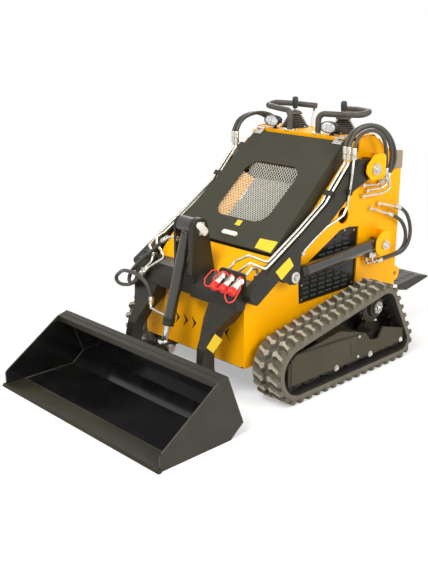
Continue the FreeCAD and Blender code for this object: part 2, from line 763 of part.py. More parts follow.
pivot_cheek = make_boss_cheek(
    "PivotCheek",
    [from_pivot(-66, -9), from_pivot(-22, -50), from_pivot(62, -50), from_pivot(79, -33),
     from_pivot(79, 66), from_pivot(-6, 66), from_pivot(-56, 26)],
    [(from_pivot(-66, -9), 30), (from_pivot(-22, -50), 30), (from_pivot(-56, 26), 30),
     (from_pivot(79, 66), 26), (from_pivot(-6, 66), 18)],
    pivot, D.pin_radius, D.pivot_web_back, 50, 60)
base_cheek = make_boss_cheek(
    "BaseCheek",
    [from_base(-60, -30), from_base(-26, -48), from_base(50, -48), from_base(50, 62),
     from_base(-11, 69), from_base(-60, 30)],
    [(from_base(-60, 30), 32), (from_base(-60, -30), 32), (from_base(50, 62), 20),
     (from_base(50, -48), 26), (from_base(-11, 69), 16)],
    lift_base, D.lift_pin, D.base_web_back, 46, 58)
both_sides("tower", group("Tower", pivot_cheek, base_cheek))
side_pad = slab("SidePad", "YZ",
                [(D.body_rear - 58, D.body_top - 84), (D.body_rear, D.body_top - 84),
                 (D.body_rear, D.body_top), (D.body_rear - 58, D.body_top + 6)],
                D.body_half, D.pad_thick)
node("side_pads", with_mirror("SidePads", side_pad))


def make_pin(name, centre, radius):
    """A headed pin through the side plate and its boss cheek."""
    shank = rod_x(name + "Shank", plate_inner, centre, radius, D.tower_reach - plate_inner)
    head = rod_x(name + "Head", D.tower_reach, centre, size(radius) + D.pin_lip, D.pin_head)
    return fuse(name, shank, head)


node("tower_pins", with_mirror("TowerPins", group(
    "TowerPinPair", make_pin("PivotPin", pivot, D.pin_radius),
    make_pin("LiftBasePin", lift_base, D.lift_pin))))


def make_chevron(name, tip, heading):
    wide = D.chevron_wide * heading
    points = [(tip, D.chevron_z), (tip - wide, D.chevron_z + D.chevron_high),
              (tip - wide * 0.4, D.chevron_z), (tip - wide, D.chevron_z - D.chevron_high)]
    return slab(name, "XZ", points, -(panel_rear + 1), D.panel_sheet + 2)


chevrons = [make_chevron(f"Chevron{index}", size(tip), heading)
            for index, (tip, heading) in enumerate([(-105, 1), (-49, 1), (7, 1),
                                                    (119, -1), (174, -1), (229, -1)])]
front_plate = slab("FrontPlate", "XZ",
                   [(-D.body_half, D.body_low + 5), (D.body_half, D.body_low + 5),
                    (D.body_half, D.body_shoulder), (-D.body_half, D.body_shoulder)],
                   -panel_rear, D.panel_sheet,
                   round_corners=[((D.body_half, D.body_low + 5), 24),
                                  ((-D.body_half, D.body_low + 5), 24)])
node("front_panel", cut("FrontPanel", front_plate, *chevrons))
cowl_top = along(hood_low, hood_slope, -10, -12)
node("front_cowl", slab(
    "FrontCowl", "YZ",
    [(D.body_front, D.body_shoulder), (panel_rear, D.body_shoulder),
     along(cowl_top, hood_slope, 0, -D.panel_sheet * 1.4), cowl_top],
    -plate_inner, plate_inner * 2))


def make_floor():
    """Floor plate on the two cross tubes that carry the track frames."""
    plate = box("FloorPlate", -plate_inner, panel_rear, D.body_low, plate_inner * 2,
                D.body_rear - D.panel_sheet - panel_rear, D.floor_plate)
    reach = track_inner + 10
    tubes = [box(f"CrossTube{index}", -reach, place - D.axle_tube_wide / 2,
                 D.body_low - D.axle_tube_deep, reach * 2, D.axle_tube_wide, D.axle_tube_deep)
             for index, place in enumerate((D.axle_front_y, D.axle_rear_y))]
    return fuse("FloorFrame", plate, *tubes)


node("floor_frame", make_floor())


def make_step_hinge(name, x):
    """Lug on the rear panel with the pin of the platform's hinge."""
    low = size(x) + 1
    lug = slab(name + "Lug", "YZ",
               [(D.body_rear, D.step_hinge_z - 46), (D.step_hinge_y, D.step_hinge_z - 16),
                (D.step_hinge_y, D.step_hinge_z + 16), (D.body_rear, D.step_hinge_z + 34)],
               low, 10)
    boss = rod_x(name + "Boss", low, step_hinge, 16, 10)
    pin = rod_x(name + "Pin", size(x) - 14, step_hinge, D.step_pin, 20)
    return fuse(name, lug, boss, pin)


step_hinge = (D.step_hinge_y, D.step_hinge_z)
rear_plate = box("RearPlate", -plate_inner, D.body_rear - D.panel_sheet, D.body_low,
                 plate_inner * 2, D.panel_sheet, D.body_top - 10 - D.body_low)
step_hinge_left = make_step_hinge("StepHinge", D.step_lug_reach)
node("rear_panel", fuse("RearPanel", rear_plate, step_hinge_left,
                        mirrored("StepHingeMirror", step_hinge_left)))


def deck_outline(drop):
    top = D.deck_top - drop
    line = [(D.deck_front, top - 26), (D.deck_front, top), (D.deck_bend, top),
            (D.deck_fall_y, D.deck_fall_z - drop), (D.body_rear, D.body_top),
            (D.body_rear, D.body_top - 10)]
    return folded(line, -D.panel_sheet)


shoulder_wide = plate_inner - D.deck_half
shoulder = slab("DeckShoulder", "YZ", deck_outline(18), D.deck_half, shoulder_wide)
node("top_deck", fuse("TopDeck", slab("Deck", "YZ", deck_outline(0), -D.deck_half, D.deck_half * 2),
                      shoulder, mirrored("DeckShoulderMirror", shoulder)))
node("engine_block", box("EngineBlock", -D.engine_half, D.engine_front, D.body_low + D.floor_plate,
                         D.engine_half * 2, D.engine_long, D.engine_high))
grille = slab("SideGrille", "YZ", inset(grille_hole, -D.grille_lap), plate_inner - D.grille_thick,
              D.grille_thick)
node("side_grilles", with_mirror("SideGrilles", grille))

# ---------------------------------------------------------------- lamps, levers, hand bars
deck_plane = D.deck_top


def make_lamp():
    body = rod_y("LampBody", D.lamp_x, D.deck_front - 18, D.lamp_z, D.lamp_radius, D.lamp_long)
    foot = box("LampFoot", D.lamp_x - 14, D.deck_front + 4, deck_plane, 28, 30,
               D.lamp_z - deck_plane)
    return fuse("Lamp", body, foot)


node("lamps", with_mirror("Lamps", make_lamp()))


def make_lever():
    """Rubber bellows with the lever's stem and knob."""
    base = cone_z("Bellows", D.lever_x, D.lever_y, deck_plane, D.bellows_radius, 26, D.bellows_high)
    stem_low = deck_plane + D.bellows_high - 2
    stem = rod_z("LeverStem", D.lever_x, D.lever_y, stem_low, 7, D.lever_top - 34 - stem_low)
    knob = rod_z("LeverKnob", D.lever_x, D.lever_y, D.lever_top - 40, 12, 40)
    return fuse("Lever", base, stem, knob)


node("control_levers", with_mirror("ControlLevers", make_lever()))
bar_route = [(88, 358, deck_plane), (88, 358, 1163), (190, 392, 1163), (300, 418, 1168),
             (296, 476, 1178), (200, 522, 1176), (92, 558, 1170)]
bar_tube = tube("HandBarTube", bar_route, D.bar_radius, 34)
bar_strut = rod_yz("HandBarStrut", size(94), (size(528), size(1069)), size(80.5), D.bar_strut, 100)
hand_bar = cut("HandBar", fuse("HandBarSolid", bar_tube, bar_strut), nodes["top_deck"])
node("hand_bars", with_mirror("HandBars", hand_bar))

# ---------------------------------------------------------------- lift arms
arm_low = D.arm_middle - D.arm_wide / 2
arm_high = D.arm_middle + D.arm_wide / 2


def make_arm():
    """Box beam from the pivot to the cross member, with the two ears for the lift rod."""
    outline = [from_pivot(-803, -429), from_pivot(-759, -490), from_pivot(-636, -413),
               from_pivot(-531, -341), from_pivot(-388, -254), from_pivot(-294, -207),
               from_pivot(-129, -85), from_pivot(-20, -44), from_pivot(0, 0), from_pivot(-20, 42),
               from_pivot(-79, 52), from_pivot(-127, 19), from_pivot(-185, -8),
               from_pivot(-299, -126), from_pivot(-465, -229), from_pivot(-625, -322)]
    beam = slab("ArmBeam", "YZ", outline, arm_low, D.arm_wide,
                round_corners=[(from_pivot(-759, -490), 22), (from_pivot(-803, -429), 16),
                               (from_pivot(-79, 52), 14)])
    eye = rod_x("ArmEye", arm_low, pivot, D.arm_eye, D.arm_wide)
    bore = rod_x("ArmBore", arm_low - 1, pivot, D.pin_radius + D.pin_gap, D.arm_wide + 2)
    ear_outline = [(D.lift_eye_y - 98, D.lift_eye_z + 22), (D.lift_eye_y - 30, D.lift_eye_z - 28),
                   (D.lift_eye_y + 10, D.lift_eye_z - 34), (D.lift_eye_y + 36, D.lift_eye_z - 10),
                   (D.lift_eye_y + 40, D.lift_eye_z + 106), (D.lift_eye_y - 80, D.lift_eye_z + 60)]
    ears = [slab(f"RodEar{index}", "YZ", ear_outline, low, D.rod_ear_plate)
            for index, low in enumerate((arm_low, arm_high - D.rod_ear_plate))]
    return cut("Arm", fuse("ArmSolid", beam, eye, *ears), bore)


both_sides("arm", make_arm())

foot = (D.foot_y, D.foot_z)
cross_high_z = D.cross_low + D.cross_high
cross_outline = [(D.cross_front, D.cross_low), (D.cross_front + 50, D.cross_low),
                 (D.cross_front + 50, D.cross_low + 16), (D.cross_front + D.cross_deep, cross_high_z),
                 (D.cross_front + 24, cross_high_z), (D.cross_front, cross_high_z - D.cross_chamfer)]


def make_leg():
    """Plate leg that narrows towards the bucket's pivot at its foot."""
    side = [(D.foot_y - 34, D.foot_z), (D.foot_y + 34, D.foot_z), (D.foot_y + 8, 169),
            (D.foot_y + 8, 233), (D.foot_y + 64, 320), (D.cross_front + 50, D.cross_low - 60),
            (D.cross_front + 50, D.cross_low + 10), (D.cross_front, D.cross_low + 10),
            (D.foot_y - 47, 264), (D.foot_y - 62, 204), (D.foot_y - 56, 140)]
    low, high = D.foot_z - D.foot_radius, D.cross_low + 12
    front = [(D.leg_low_reach, low), (D.leg_reach, low), (D.leg_reach, 330),
             (arm_low, D.cross_low + 4), (arm_low, high), (D.leg_top_reach, high),
             (D.leg_top_reach + 8, 372), (D.leg_top_reach + 34, 296), (D.leg_low_reach - 14, 205),
             (D.leg_low_reach, 150)]
    depth = slab("LegDepth", "YZ", side, D.leg_top_reach - 1, arm_low - D.leg_top_reach + 2)
    face = slab("LegFace", "XZ", front, -(D.cross_front + 60), 200)
    shape = doc.addObject("Part::Common", "LegShape")
    shape.Base, shape.Tool = depth, face
    round_foot = rod_x("LegFoot", D.leg_low_reach, foot, D.foot_radius, D.leg_reach - D.leg_low_reach)
    bore = rod_x("LegBore", D.leg_low_reach - 1, foot, D.foot_pin + D.pin_gap,
                 D.leg_reach - D.leg_low_reach + 2)
    return cut("Leg", fuse("LegSolid", shape, round_foot), bore)


def make_ear(name, low, thick, boss, front_foot, rear_foot):
    """Upright ear for the tilt cylinder's upper pin; its foot runs between two Y values."""
    front = D.cross_front + front_foot
    rear = D.cross_front + rear_foot
    outline = [(front + 20, cross_high_z - 40), (front, cross_high_z + 6),
               (D.tilt_top_y - boss, D.tilt_top_z), (D.tilt_top_y + boss, D.tilt_top_z),
               (rear, cross_high_z + 2), (rear - 32, cross_high_z - 40)]
    ear = slab(name + "Plate", "YZ", outline, low, thick)
    return fuse(name, ear, rod_x(name + "Boss", low, tilt_top, boss, thick))


def make_cross_member():
    """Boxed cross member between the arms, with the tilt ears and the legs."""
    beam = slab("CrossBeam", "YZ", cross_outline, -arm_low, arm_low * 2)
    recess = box("TiltRecess", -D.recess_half, D.cross_front - 1, D.cross_low - 1,
                 D.recess_half * 2, D.recess_deep + 1, D.cross_high + 2)
    leg = make_leg()
    ear = make_ear("TiltEar", D.ear_half - D.ear_plate, D.ear_plate, D.ear_boss, size(-16),
                   D.cross_deep - 8)
    thin_ear = make_ear("ThinEar", -thin_ear_outer, D.thin_ear, D.thin_ear_boss, size(2), size(74))
    pin_hole = rod_x("TiltTopHole", -D.ear_half - 1, tilt_top, D.tilt_pin, D.ear_half * 2 + 2)
    tube_hole = rod_x("EarTubeHole", -thin_ear_outer - 1, tilt_port_high, D.ear_tube_hole,
                      D.thin_ear + 2)
    solid = fuse("CrossSolid", cut("CrossCut", beam, recess), leg, mirrored("LegMirror", leg),
                 ear, thin_ear)
    return cut("CrossMember", solid, pin_hole, tube_hole)


tilt_top = (D.tilt_top_y, D.tilt_top_z)
tilt_eye = (D.tilt_eye_y, D.tilt_eye_z)
tilt_slope = bearing(tilt_top, tilt_eye)
thin_ear_outer = D.thin_ear_inner + D.thin_ear
tilt_port_high = along(tilt_top, tilt_slope, 69)
tilt_port_low = along(tilt_top, tilt_slope, 414)
node("cross_member", make_cross_member())


def make_arm_pins():
    """Pin of the tilt cylinder, and the heads outside the ears of the lift rods."""
    shank = rod_x("TiltTopPin", -thin_ear_outer, tilt_top, D.tilt_pin, thin_ear_outer + D.ear_half)
    flag = slab("TiltTopFlag", "YZ",
                [(D.tilt_top_y - 15, D.tilt_top_z - 30), (D.tilt_top_y + 15, D.tilt_top_z - 22),
                 (D.tilt_top_y + 15, D.tilt_top_z + 24), (D.tilt_top_y - 15, D.tilt_top_z + 30)],
                D.ear_half, D.pin_head)
    head = rod_x("LiftEyeHead", arm_high, lift_eye, D.lift_pin + D.pin_lip, D.pin_head)
    inner = rod_x("LiftEyeCap", arm_low - 4, lift_eye, D.lift_pin + 3, 4)
    return group("ArmPins", fuse("TiltTopPinSolid", shank, flag), head, inner,
                 mirrored("LiftEyeHeadMirror", head), mirrored("LiftEyeCapMirror", inner))


node("arm_pins", make_arm_pins())

# ---------------------------------------------------------------- cylinders
def make_cylinder(stem, x, base, eye, bore, rod, pin, base_half, base_ring, eye_half, nose,
                  retract):
    """A barrel with its base eye, and a rod with its own eye, as two pieces.

    nose is the rod that shows between the barrel and the rod's eye at rest, and
    retract is how far the rod can still go in from there.
    """
    slope = bearing(base, eye)
    reach = distance(base, eye)
    ring = size(pin) + D.eye_wall
    shell_start = along(base, slope, ring * 0.8)
    shell = rod_yz(stem + "Shell", x, shell_start, slope, bore, reach - ring * 1.8 - nose)
    hollow = rod_yz(stem + "Hollow", x, along(base, slope, ring + 10), slope,
                    size(rod) + D.rod_play, reach)
    base_eye = rod_x(stem + "BaseEye", x - base_half, base, base_ring, size(base_half) * 2)
    base_hole = rod_x(stem + "BaseHole", x - base_half - 1, base, size(pin) + D.pin_gap,
                      size(base_half) * 2 + 2)
    barrel = cut(stem + "Barrel", fuse(stem + "BarrelSolid", shell, base_eye), hollow, base_hole)
    shaft_start = ring + 14 + retract
    shaft = rod_yz(stem + "Shaft", x, along(base, slope, shaft_start), slope, rod,
                   reach - shaft_start)
    rod_eye = rod_x(stem + "RodEye", x - eye_half, eye, ring, size(eye_half) * 2)
    rod_hole = rod_x(stem + "RodHole", x - eye_half - 1, eye, pin, size(eye_half) * 2 + 2)
    piston = cut(stem + "Rod", fuse(stem + "RodSolid", shaft, rod_eye), rod_hole)
    return barrel, piston


lift_x = D.arm_middle
barrel, piston = make_cylinder("Lift", lift_x, lift_base, lift_eye, D.lift_bore, D.lift_rod,
                               D.lift_pin, D.lift_base_eye_half, D.lift_pin + D.eye_wall,
                               D.lift_rod_eye_half, D.lift_nose, size(0))
both_sides("lift_barrel", barrel)
both_sides("lift_rod", piston)

barrel, piston = make_cylinder("Tilt", size(0), tilt_top, tilt_eye, D.tilt_bore, D.tilt_rod_radius,
                               D.tilt_pin, D.tilt_base_eye_half, D.tilt_base_ring,
                               D.tilt_rod_eye_half, D.tilt_nose,
                               D.tilt_retract)
node("tilt_barrel", barrel)
node("tilt_rod", piston)

# ---------------------------------------------------------------- tubes, couplers, hoses
def ferrule(name, start, end, wide=0):
    return tube(name, [start, end], D.ferrule_radius + wide)


def make_arm_tube(name, x, front, extra=()):
    """Steel tube from the front, along the top of an arm, up to its hose ferrule."""
    along_arm = [(x, -71, 713), (x, 92, 815), (x, 246, 975), (x, 246, 1000)]
    pipe = tube(name, list(front) + [(x, -252, 610)] + along_arm, D.tube_radius, 16)
    return fuse(name + "Solid", pipe, ferrule(name + "End", (x, 246, 992), (x, 246, 1048)), *extra)


def left_arm_tubes():
    low_x, high_x = D.tube_low_x.number, D.tube_high_x.number
    first = make_arm_tube("TubeOne", low_x, [(225, -367.5, 576.5), (240, -343, 611), (293, -316, 644)])
    second = make_arm_tube("TubeTwo", high_x, [(278, -367.5, 576.5), (324, -338, 622),
                                               (high_x, -288, 592)])
    block = box("UnionBlock", arm_low - 16, -310, 536, 16, 28, 26)
    short = fuse("ShortTube", tube("TubeFour", [(329, -367.5, 576.5), (329, -335, 598), (329, -303, 590),
                                                (329, -296, 558)], D.tube_radius, 12), block)
    under = tube("TubeThree", [(385, 256, 1000), (391, 240, 930), (391, 227, 853), (391, 211, 782),
                               (391, 190, 752), (384, 150, 733), (372, 95, 710), (372, 9, 666),
                               (372, -66, 622)], D.tube_radius, 16)
    low_edge = bearing(from_pivot(-531, -341), from_pivot(-388, -254))
    seat = along(from_pivot(-531, -341), low_edge, 75)
    end = slab("TubeThreeEnd", "YZ", [along(seat, low_edge, -11, -20), along(seat, low_edge, 11, -20),
                                      along(seat, low_edge, 11, 0), along(seat, low_edge, -11, 0)],
               362, 20)
    third = fuse("TubeThreeSolid", under, end,
                 ferrule("TubeThreeTop", (385, 256, 992), (385, 256, 1044)))
    return [first, second, short, third]


def right_arm_tubes():
    low_x, high_x = -D.tube_low_x.number, -D.tube_high_x.number
    first = make_arm_tube("TubeFive", low_x,
                          [(-232, -441, 500), (-185, -426, 534), (-140, -410, 566),
                           (-165, -410, 592), (-240, -372, 602), (-300, -322, 610)],
                          [ferrule("TubeFiveHose", (-226, -443, 504), (-250, -454, 470))])
    second = make_arm_tube("TubeSix", high_x,
                           [(-254, -440, 494), (-222, -422, 530), (-226, -404, 562),
                            (-322, -350, 575)],
                           [ferrule("TubeSixHose", (-251, -442, 497), (-274, -454, 458))])
    return [first, second]


node("arm_tubes", group("ArmTubes", *left_arm_tubes(), *right_arm_tubes()))


def make_tube_clamps():
    """Clamp blocks that hold the steel tubes on the arms."""
    start, slope = (size(128), size(852.4)), size(46)
    block = slab("TopClamp", "YZ", [along(start, slope, -12, -9), along(start, slope, 12, -9),
                                    along(start, slope, 12, 9), along(start, slope, -12, 9)],
                 332, 42)
    drills = [rod_yz(f"TopClampDrill{index}", x, along(start, slope, -60), slope, D.tube_radius, 120)
              for index, x in enumerate((D.tube_low_x, D.tube_high_x))]
    top = cut("TopClampCut", block, *drills)
    low_block = rod_x("SideClamp", arm_high, (size(227), size(850)), 15, 14)
    drill = rod_yz("SideClampDrill", size(391), (size(220.8), size(822)), size(77.5), 9, 60)
    return group("TubeClamps", top, mirrored("TopClampMirror", top),
                 cut("SideClampCut", low_block, drill))


node("tube_clamps", make_tube_clamps())


def make_couplers():
    """Bracket plates, the three quick couplers on the left one, and their caps."""
    start = (D.coupler_y, D.coupler_z)
    top = D.coupler_z + 26
    plate_y = D.coupler_y - 13
    plate = slab("CouplerPlate", "XZ",
                 [(196, cross_high_z), (352, cross_high_z), (352, top), (196, top)],
                 -(plate_y + D.coupler_plate), D.coupler_plate,
                 round_corners=[((352, top), 24), ((196, top), 24)])
    right = slab("TubePlate", "XZ",
                 [(-330, cross_high_z), (-236, cross_high_z), (-236, top - 34), (-330, top - 34)],
                 -(plate_y + D.coupler_plate + 20), D.coupler_plate,
                 round_corners=[((-236, top - 34), 14), ((-330, top - 34), 14)])
    bodies, caps, drills = [], [], []
    for index, x in enumerate((225, 278, 329)):
        name = f"Coupler{index}"
        barrel = rod_yz(name + "Barrel", x, start, D.coupler_heading, D.coupler_radius, D.coupler_long)
        tail = rod_yz(name + "Tail", x, along(start, D.coupler_heading, -14), D.coupler_heading,
                      D.union_radius, 15)
        bodies.append(fuse(name, barrel, tail))
        caps.append(rod_yz(name + "Cap", x, along(start, D.coupler_heading, D.coupler_long),
                           D.coupler_heading, D.coupler_cap, D.coupler_cap_long))
        drills.append(rod_yz(name + "Drill", x, start, D.coupler_heading,
                             D.coupler_radius + D.wheel_gap, 60))
    node("couplers", group("Couplers", *bodies))
    node("coupler_bracket", group("CouplerBracket",
                                  cut("CouplerPlateCut", plate, nodes["couplers"], *drills), right))
    node("coupler_caps", group("CouplerCaps", *caps))
    loops = [tube("LeashOne", [(225, -476, 526), (208, -490, 530), (186, -470, 550),
                               (190, -432, 580), (208, -416, 584), (225, -412, 562)], D.leash, 14),
             tube("LeashTwo", [(278, -476, 526), (258, -494, 534), (238, -464, 566),
                               (246, -430, 586), (262, -416, 586), (278, -412, 562)], D.leash, 14),
             tube("LeashThree", [(329, -478, 528), (340, -504, 520), (360, -506, 492),
                                 (376, -486, 500), (378, -450, 545), (356, -416, 584),
                                 (329, -412, 562)], D.leash, 14)]
    node("cap_leashes", cut("CapLeashesCut", group("CapLeashes", *loops), nodes["couplers"],
                            nodes["coupler_caps"]))


make_couplers()


def make_frame_tubes():
    """Steel ends of the hoses on the side plates."""
    wall = D.body_half.number
    one = fuse("RearTubeOneSolid",
               tube("RearTubeOne", [(345, 545, 858), (338, 505, 840), (338, 401, 851)],
                    D.tube_radius, 14),
               ferrule("RearTubeOneEnd", (345, 556, 864), (341, 516, 844)),
               rod_x("RearUnionOne", wall, (size(398), size(851)), D.union_radius, 20))
    two = fuse("RearTubeTwoSolid",
               tube("RearTubeTwo", [(362, 556, 872), (358, 549, 838), (352, 520, 824),
                                    (338, 430, 822)], D.tube_radius, 14),
               ferrule("RearTubeTwoEnd", (363, 559, 893), (361, 554, 858)),
               rod_x("RearUnionTwo", wall, (size(427), size(822)), D.union_radius, 20))
    upper = fuse("LiftTubeOneSolid",
                 tube("LiftTubeOne", [(336, 526, 746), (352, 570, 736), (368, 640, 716)],
                      D.tube_radius, 14),
                 ferrule("LiftTubeOneEnd", (366, 620, 722), (371, 656, 711)),
                 rod_x("LiftUnionOne", wall, (size(524), size(746)), D.union_radius, 18))
    lower = fuse("LiftTubeTwoSolid",
                 tube("LiftTubeTwo", [(336, 463, 731), (346, 500, 719), (351, 600, 684)],
                      D.tube_radius, 14),
                 ferrule("LiftTubeTwoEnd", (350, 585, 689), (352, 622, 677)),
                 rod_x("LiftUnionTwo", wall, (size(461), size(732)), D.union_radius, 18))
    three = fuse("RearTubeThreeSolid",
                 tube("RearTubeThree", [(378, 511, 896), (372, 530, 870), (363, 566, 858),
                                        (362, 568, 812), (360, 500, 800), (338, 400, 800)],
                      D.tube_radius, 14),
                 ferrule("RearTubeThreeEnd", (383, 507, 925), (378, 511, 890)),
                 rod_x("RearUnionThree", wall, (size(397), size(800)), D.union_radius, 20))
    pairs_of_tubes = [one, two, upper, lower]
    others = [mirrored(thing.Name + "Mirror", thing) for thing in pairs_of_tubes]
    return group("FrameTubes", *pairs_of_tubes, *others, three)


node("frame_tubes", make_frame_tubes())


def make_lift_ports():
    """Port block under a lift barrel with its two elbows."""
    block = box("LiftPortBlock", 343, 418, 504, 37, 50, 27)
    barrel_room = rod_yz("LiftPortRoom", lift_x, lift_base, lift_slope, D.lift_bore,
                         distance(lift_base, lift_eye))
    one = tube("LiftElbowOne", [(370, 452, 512), (370, 452, 476), (371, 500, 475)], D.tube_radius, 12)
    two = tube("LiftElbowTwo", [(352, 432, 512), (352, 432, 472), (352, 505, 470)], D.tube_radius, 12)
    return fuse("LiftPorts", cut("LiftPortCut", block, barrel_room), one, two,
                ferrule("LiftElbowOneEnd", (371, 484, 475), (371, 526, 476)),
                ferrule("LiftElbowTwoEnd", (352, 490, 470), (352, 532, 471)))


lift_slope = bearing(lift_base, lift_eye)
both_sides("lift_ports", make_lift_ports())


def make_tilt_ports():
    """Port stubs of the tilt barrel with their elbows and ferrules."""
    high_y, high_z = (value.number for value in tilt_port_high)
    low_y, low_z = (value.number for value in tilt_port_low)
    high = tube("TiltElbowHigh", [(-22, high_y, high_z), (-92, high_y, high_z),
                                  (-128, high_y - 2, high_z - 16)], D.tube_radius, 14)
    low = tube("TiltElbowLow", [(-22, low_y, low_z), (-138, low_y + 8, low_z + 6),
                                (-149, -487, 366)], D.tube_radius, 14)
    room = rod_yz("TiltPortRoom", 0, tilt_top, tilt_slope, D.tilt_bore, distance(tilt_top, tilt_eye))
    high_solid = fuse("TiltHighSolid", high,
                      ferrule("TiltHighEnd", (-114, high_y - 1, high_z - 9),
                              (-152, high_y - 4, high_z - 31)))
    low_solid = fuse("TiltLowSolid", low, ferrule("TiltLowEnd", (-147, -489, 358), (-153, -484, 392)))
    return group("TiltPorts", cut("TiltHighCut", high_solid, room), cut("TiltLowCut", low_solid, room))


node("tilt_ports", make_tilt_ports())


def make_hose(name, points):
    return tube(name, points, D.hose_radius)


arch_one = make_hose("ArchHoseOne", [(342, 246, 1048), (342, 262, 1084), (343, 296, 1110),
                                     (344, 353, 1127), (345, 427, 1129), (345, 505, 1109),
                                     (345, 567, 1069), (345, 612, 1015), (345, 630, 955),
                                     (346, 610, 898), (345, 556, 864)])
arch_two = make_hose("ArchHoseTwo", [(364, 246, 1048), (364, 262, 1086), (364, 300, 1112),
                                     (364, 360, 1127), (364, 420, 1125), (364, 478, 1103),
                                     (364, 530, 1063), (364, 563, 1013), (364, 572, 955),
                                     (363, 559, 893)])
arch_three = make_hose("ArchHoseThree", [(385, 256, 1044), (385, 272, 1084), (385, 314, 1108),
                                         (385, 374, 1113), (385, 436, 1097), (385, 478, 1059),
                                         (385, 498, 1001), (383, 507, 925)])
arch_hoses = group("ArchHoses", arch_one, arch_two, mirrored("ArchHoseOneMirror", arch_one),
                   mirrored("ArchHoseTwoMirror", arch_two), arch_three)
node("arch_hoses", cut("ArchHosesCut", arch_hoses, nodes["arm_tubes"], nodes["frame_tubes"]))
lift_hose_one = make_hose("LiftHoseOne", [(371, 656, 711), (371, 700, 690), (371, 740, 640),
                                          (371, 762, 572), (371, 745, 512), (371, 695, 481),
                                          (371, 626, 477), (371, 526, 476)])
lift_hose_two = make_hose("LiftHoseTwo", [(352, 622, 677), (352, 680, 652), (352, 728, 608),
                                          (352, 751, 555), (352, 742, 508), (352, 700, 478),
                                          (352, 626, 471), (352, 532, 471)])
lift_hoses = group("LiftHoses", lift_hose_one, lift_hose_two)
both_sides("lift_hoses", cut("LiftHosesCut", lift_hoses, nodes["frame_tubes"],
                             nodes["lift_ports_left"]))
tilt_hose_one = make_hose("TiltHoseOne", [(-250, -454, 470), (-276, -466, 438), (-308, -470, 416),
                                          (-334, -470, 424), (-330, -462, 462), (-292, -454, 508),
                                          (-258, -436, 548), (-200, -418, 596),
                                          (-152, tilt_port_high[0].number - 4,
                                           tilt_port_high[1].number - 31)])
tilt_hose_two = make_hose("TiltHoseTwo", [(-274, -454, 458), (-298, -462, 428), (-360, -446, 393),
                                          (-437, -446, 380), (-464, -450, 408), (-415, -452, 450),
                                          (-335, -486, 480), (-245, -488, 482), (-190, -486, 458),
                                          (-163, -484, 425), (-153, -484, 392)])
tilt_hoses = group("TiltHoses", tilt_hose_one, tilt_hose_two)
node("tilt_hoses", cut("TiltHosesCut", tilt_hoses, nodes["arm_tubes"], nodes["tilt_ports"]))

# ---------------------------------------------------------------- bucket
shell_line = [(D.bucket_front, 0), (D.bucket_heel_y, 0), (D.bucket_knee_y, D.bucket_knee_z),
              (D.bucket_lip_y, D.bucket_lip_z), (D.bucket_lip_y - D.lip_deep, D.bucket_lip_z - 14),
              (D.bucket_lip_y - D.lip_deep, D.bucket_lip_z - 38)]
inner_half = D.bucket_half - D.bucket_sheet


def make_bucket():
    """Folded floor and back with their upper lip, and the two cheeks."""
    sheet_line = folded(shell_line, D.bucket_sheet)
    sheet = slab("BucketSheet", "YZ", sheet_line, -inner_half, inner_half * 2)
    cheek = slab("BucketCheek", "YZ",
                 [(D.bucket_front, 0), (D.bucket_heel_y, 0), (D.bucket_knee_y, D.bucket_knee_z),
                  (D.bucket_lip_y, D.bucket_lip_z), (D.bucket_lip_y - D.lip_deep, D.bucket_lip_z - 14),
                  (D.bucket_front + 8, D.cheek_front_z), (D.bucket_front, D.cheek_front_z - 8)],
                 inner_half, D.bucket_sheet)
    return fuse("BucketShell", sheet, cheek, mirrored("CheekMirror", cheek))


node("bucket_shell", make_bucket())
edge_front = D.bucket_front - D.edge_proud
edge_bar = slab("EdgeBar", "YZ",
                [(edge_front, 0), (D.bucket_front, 0), (D.bucket_front, D.edge_thick),
                 (edge_front + 9, D.edge_thick)], -D.edge_half, D.edge_half * 2)
edge_plate = box("EdgePlate", -inner_half, D.bucket_front, D.bucket_sheet, inner_half * 2,
                 D.edge_deep - D.edge_proud, D.edge_thick - D.bucket_sheet)
node("cutting_edge", fuse("CuttingEdge", edge_bar, edge_plate))

knee = (D.bucket_knee_y, D.bucket_knee_z)
lip = (D.bucket_lip_y, D.bucket_lip_z)
back_slope = bearing(knee, lip)


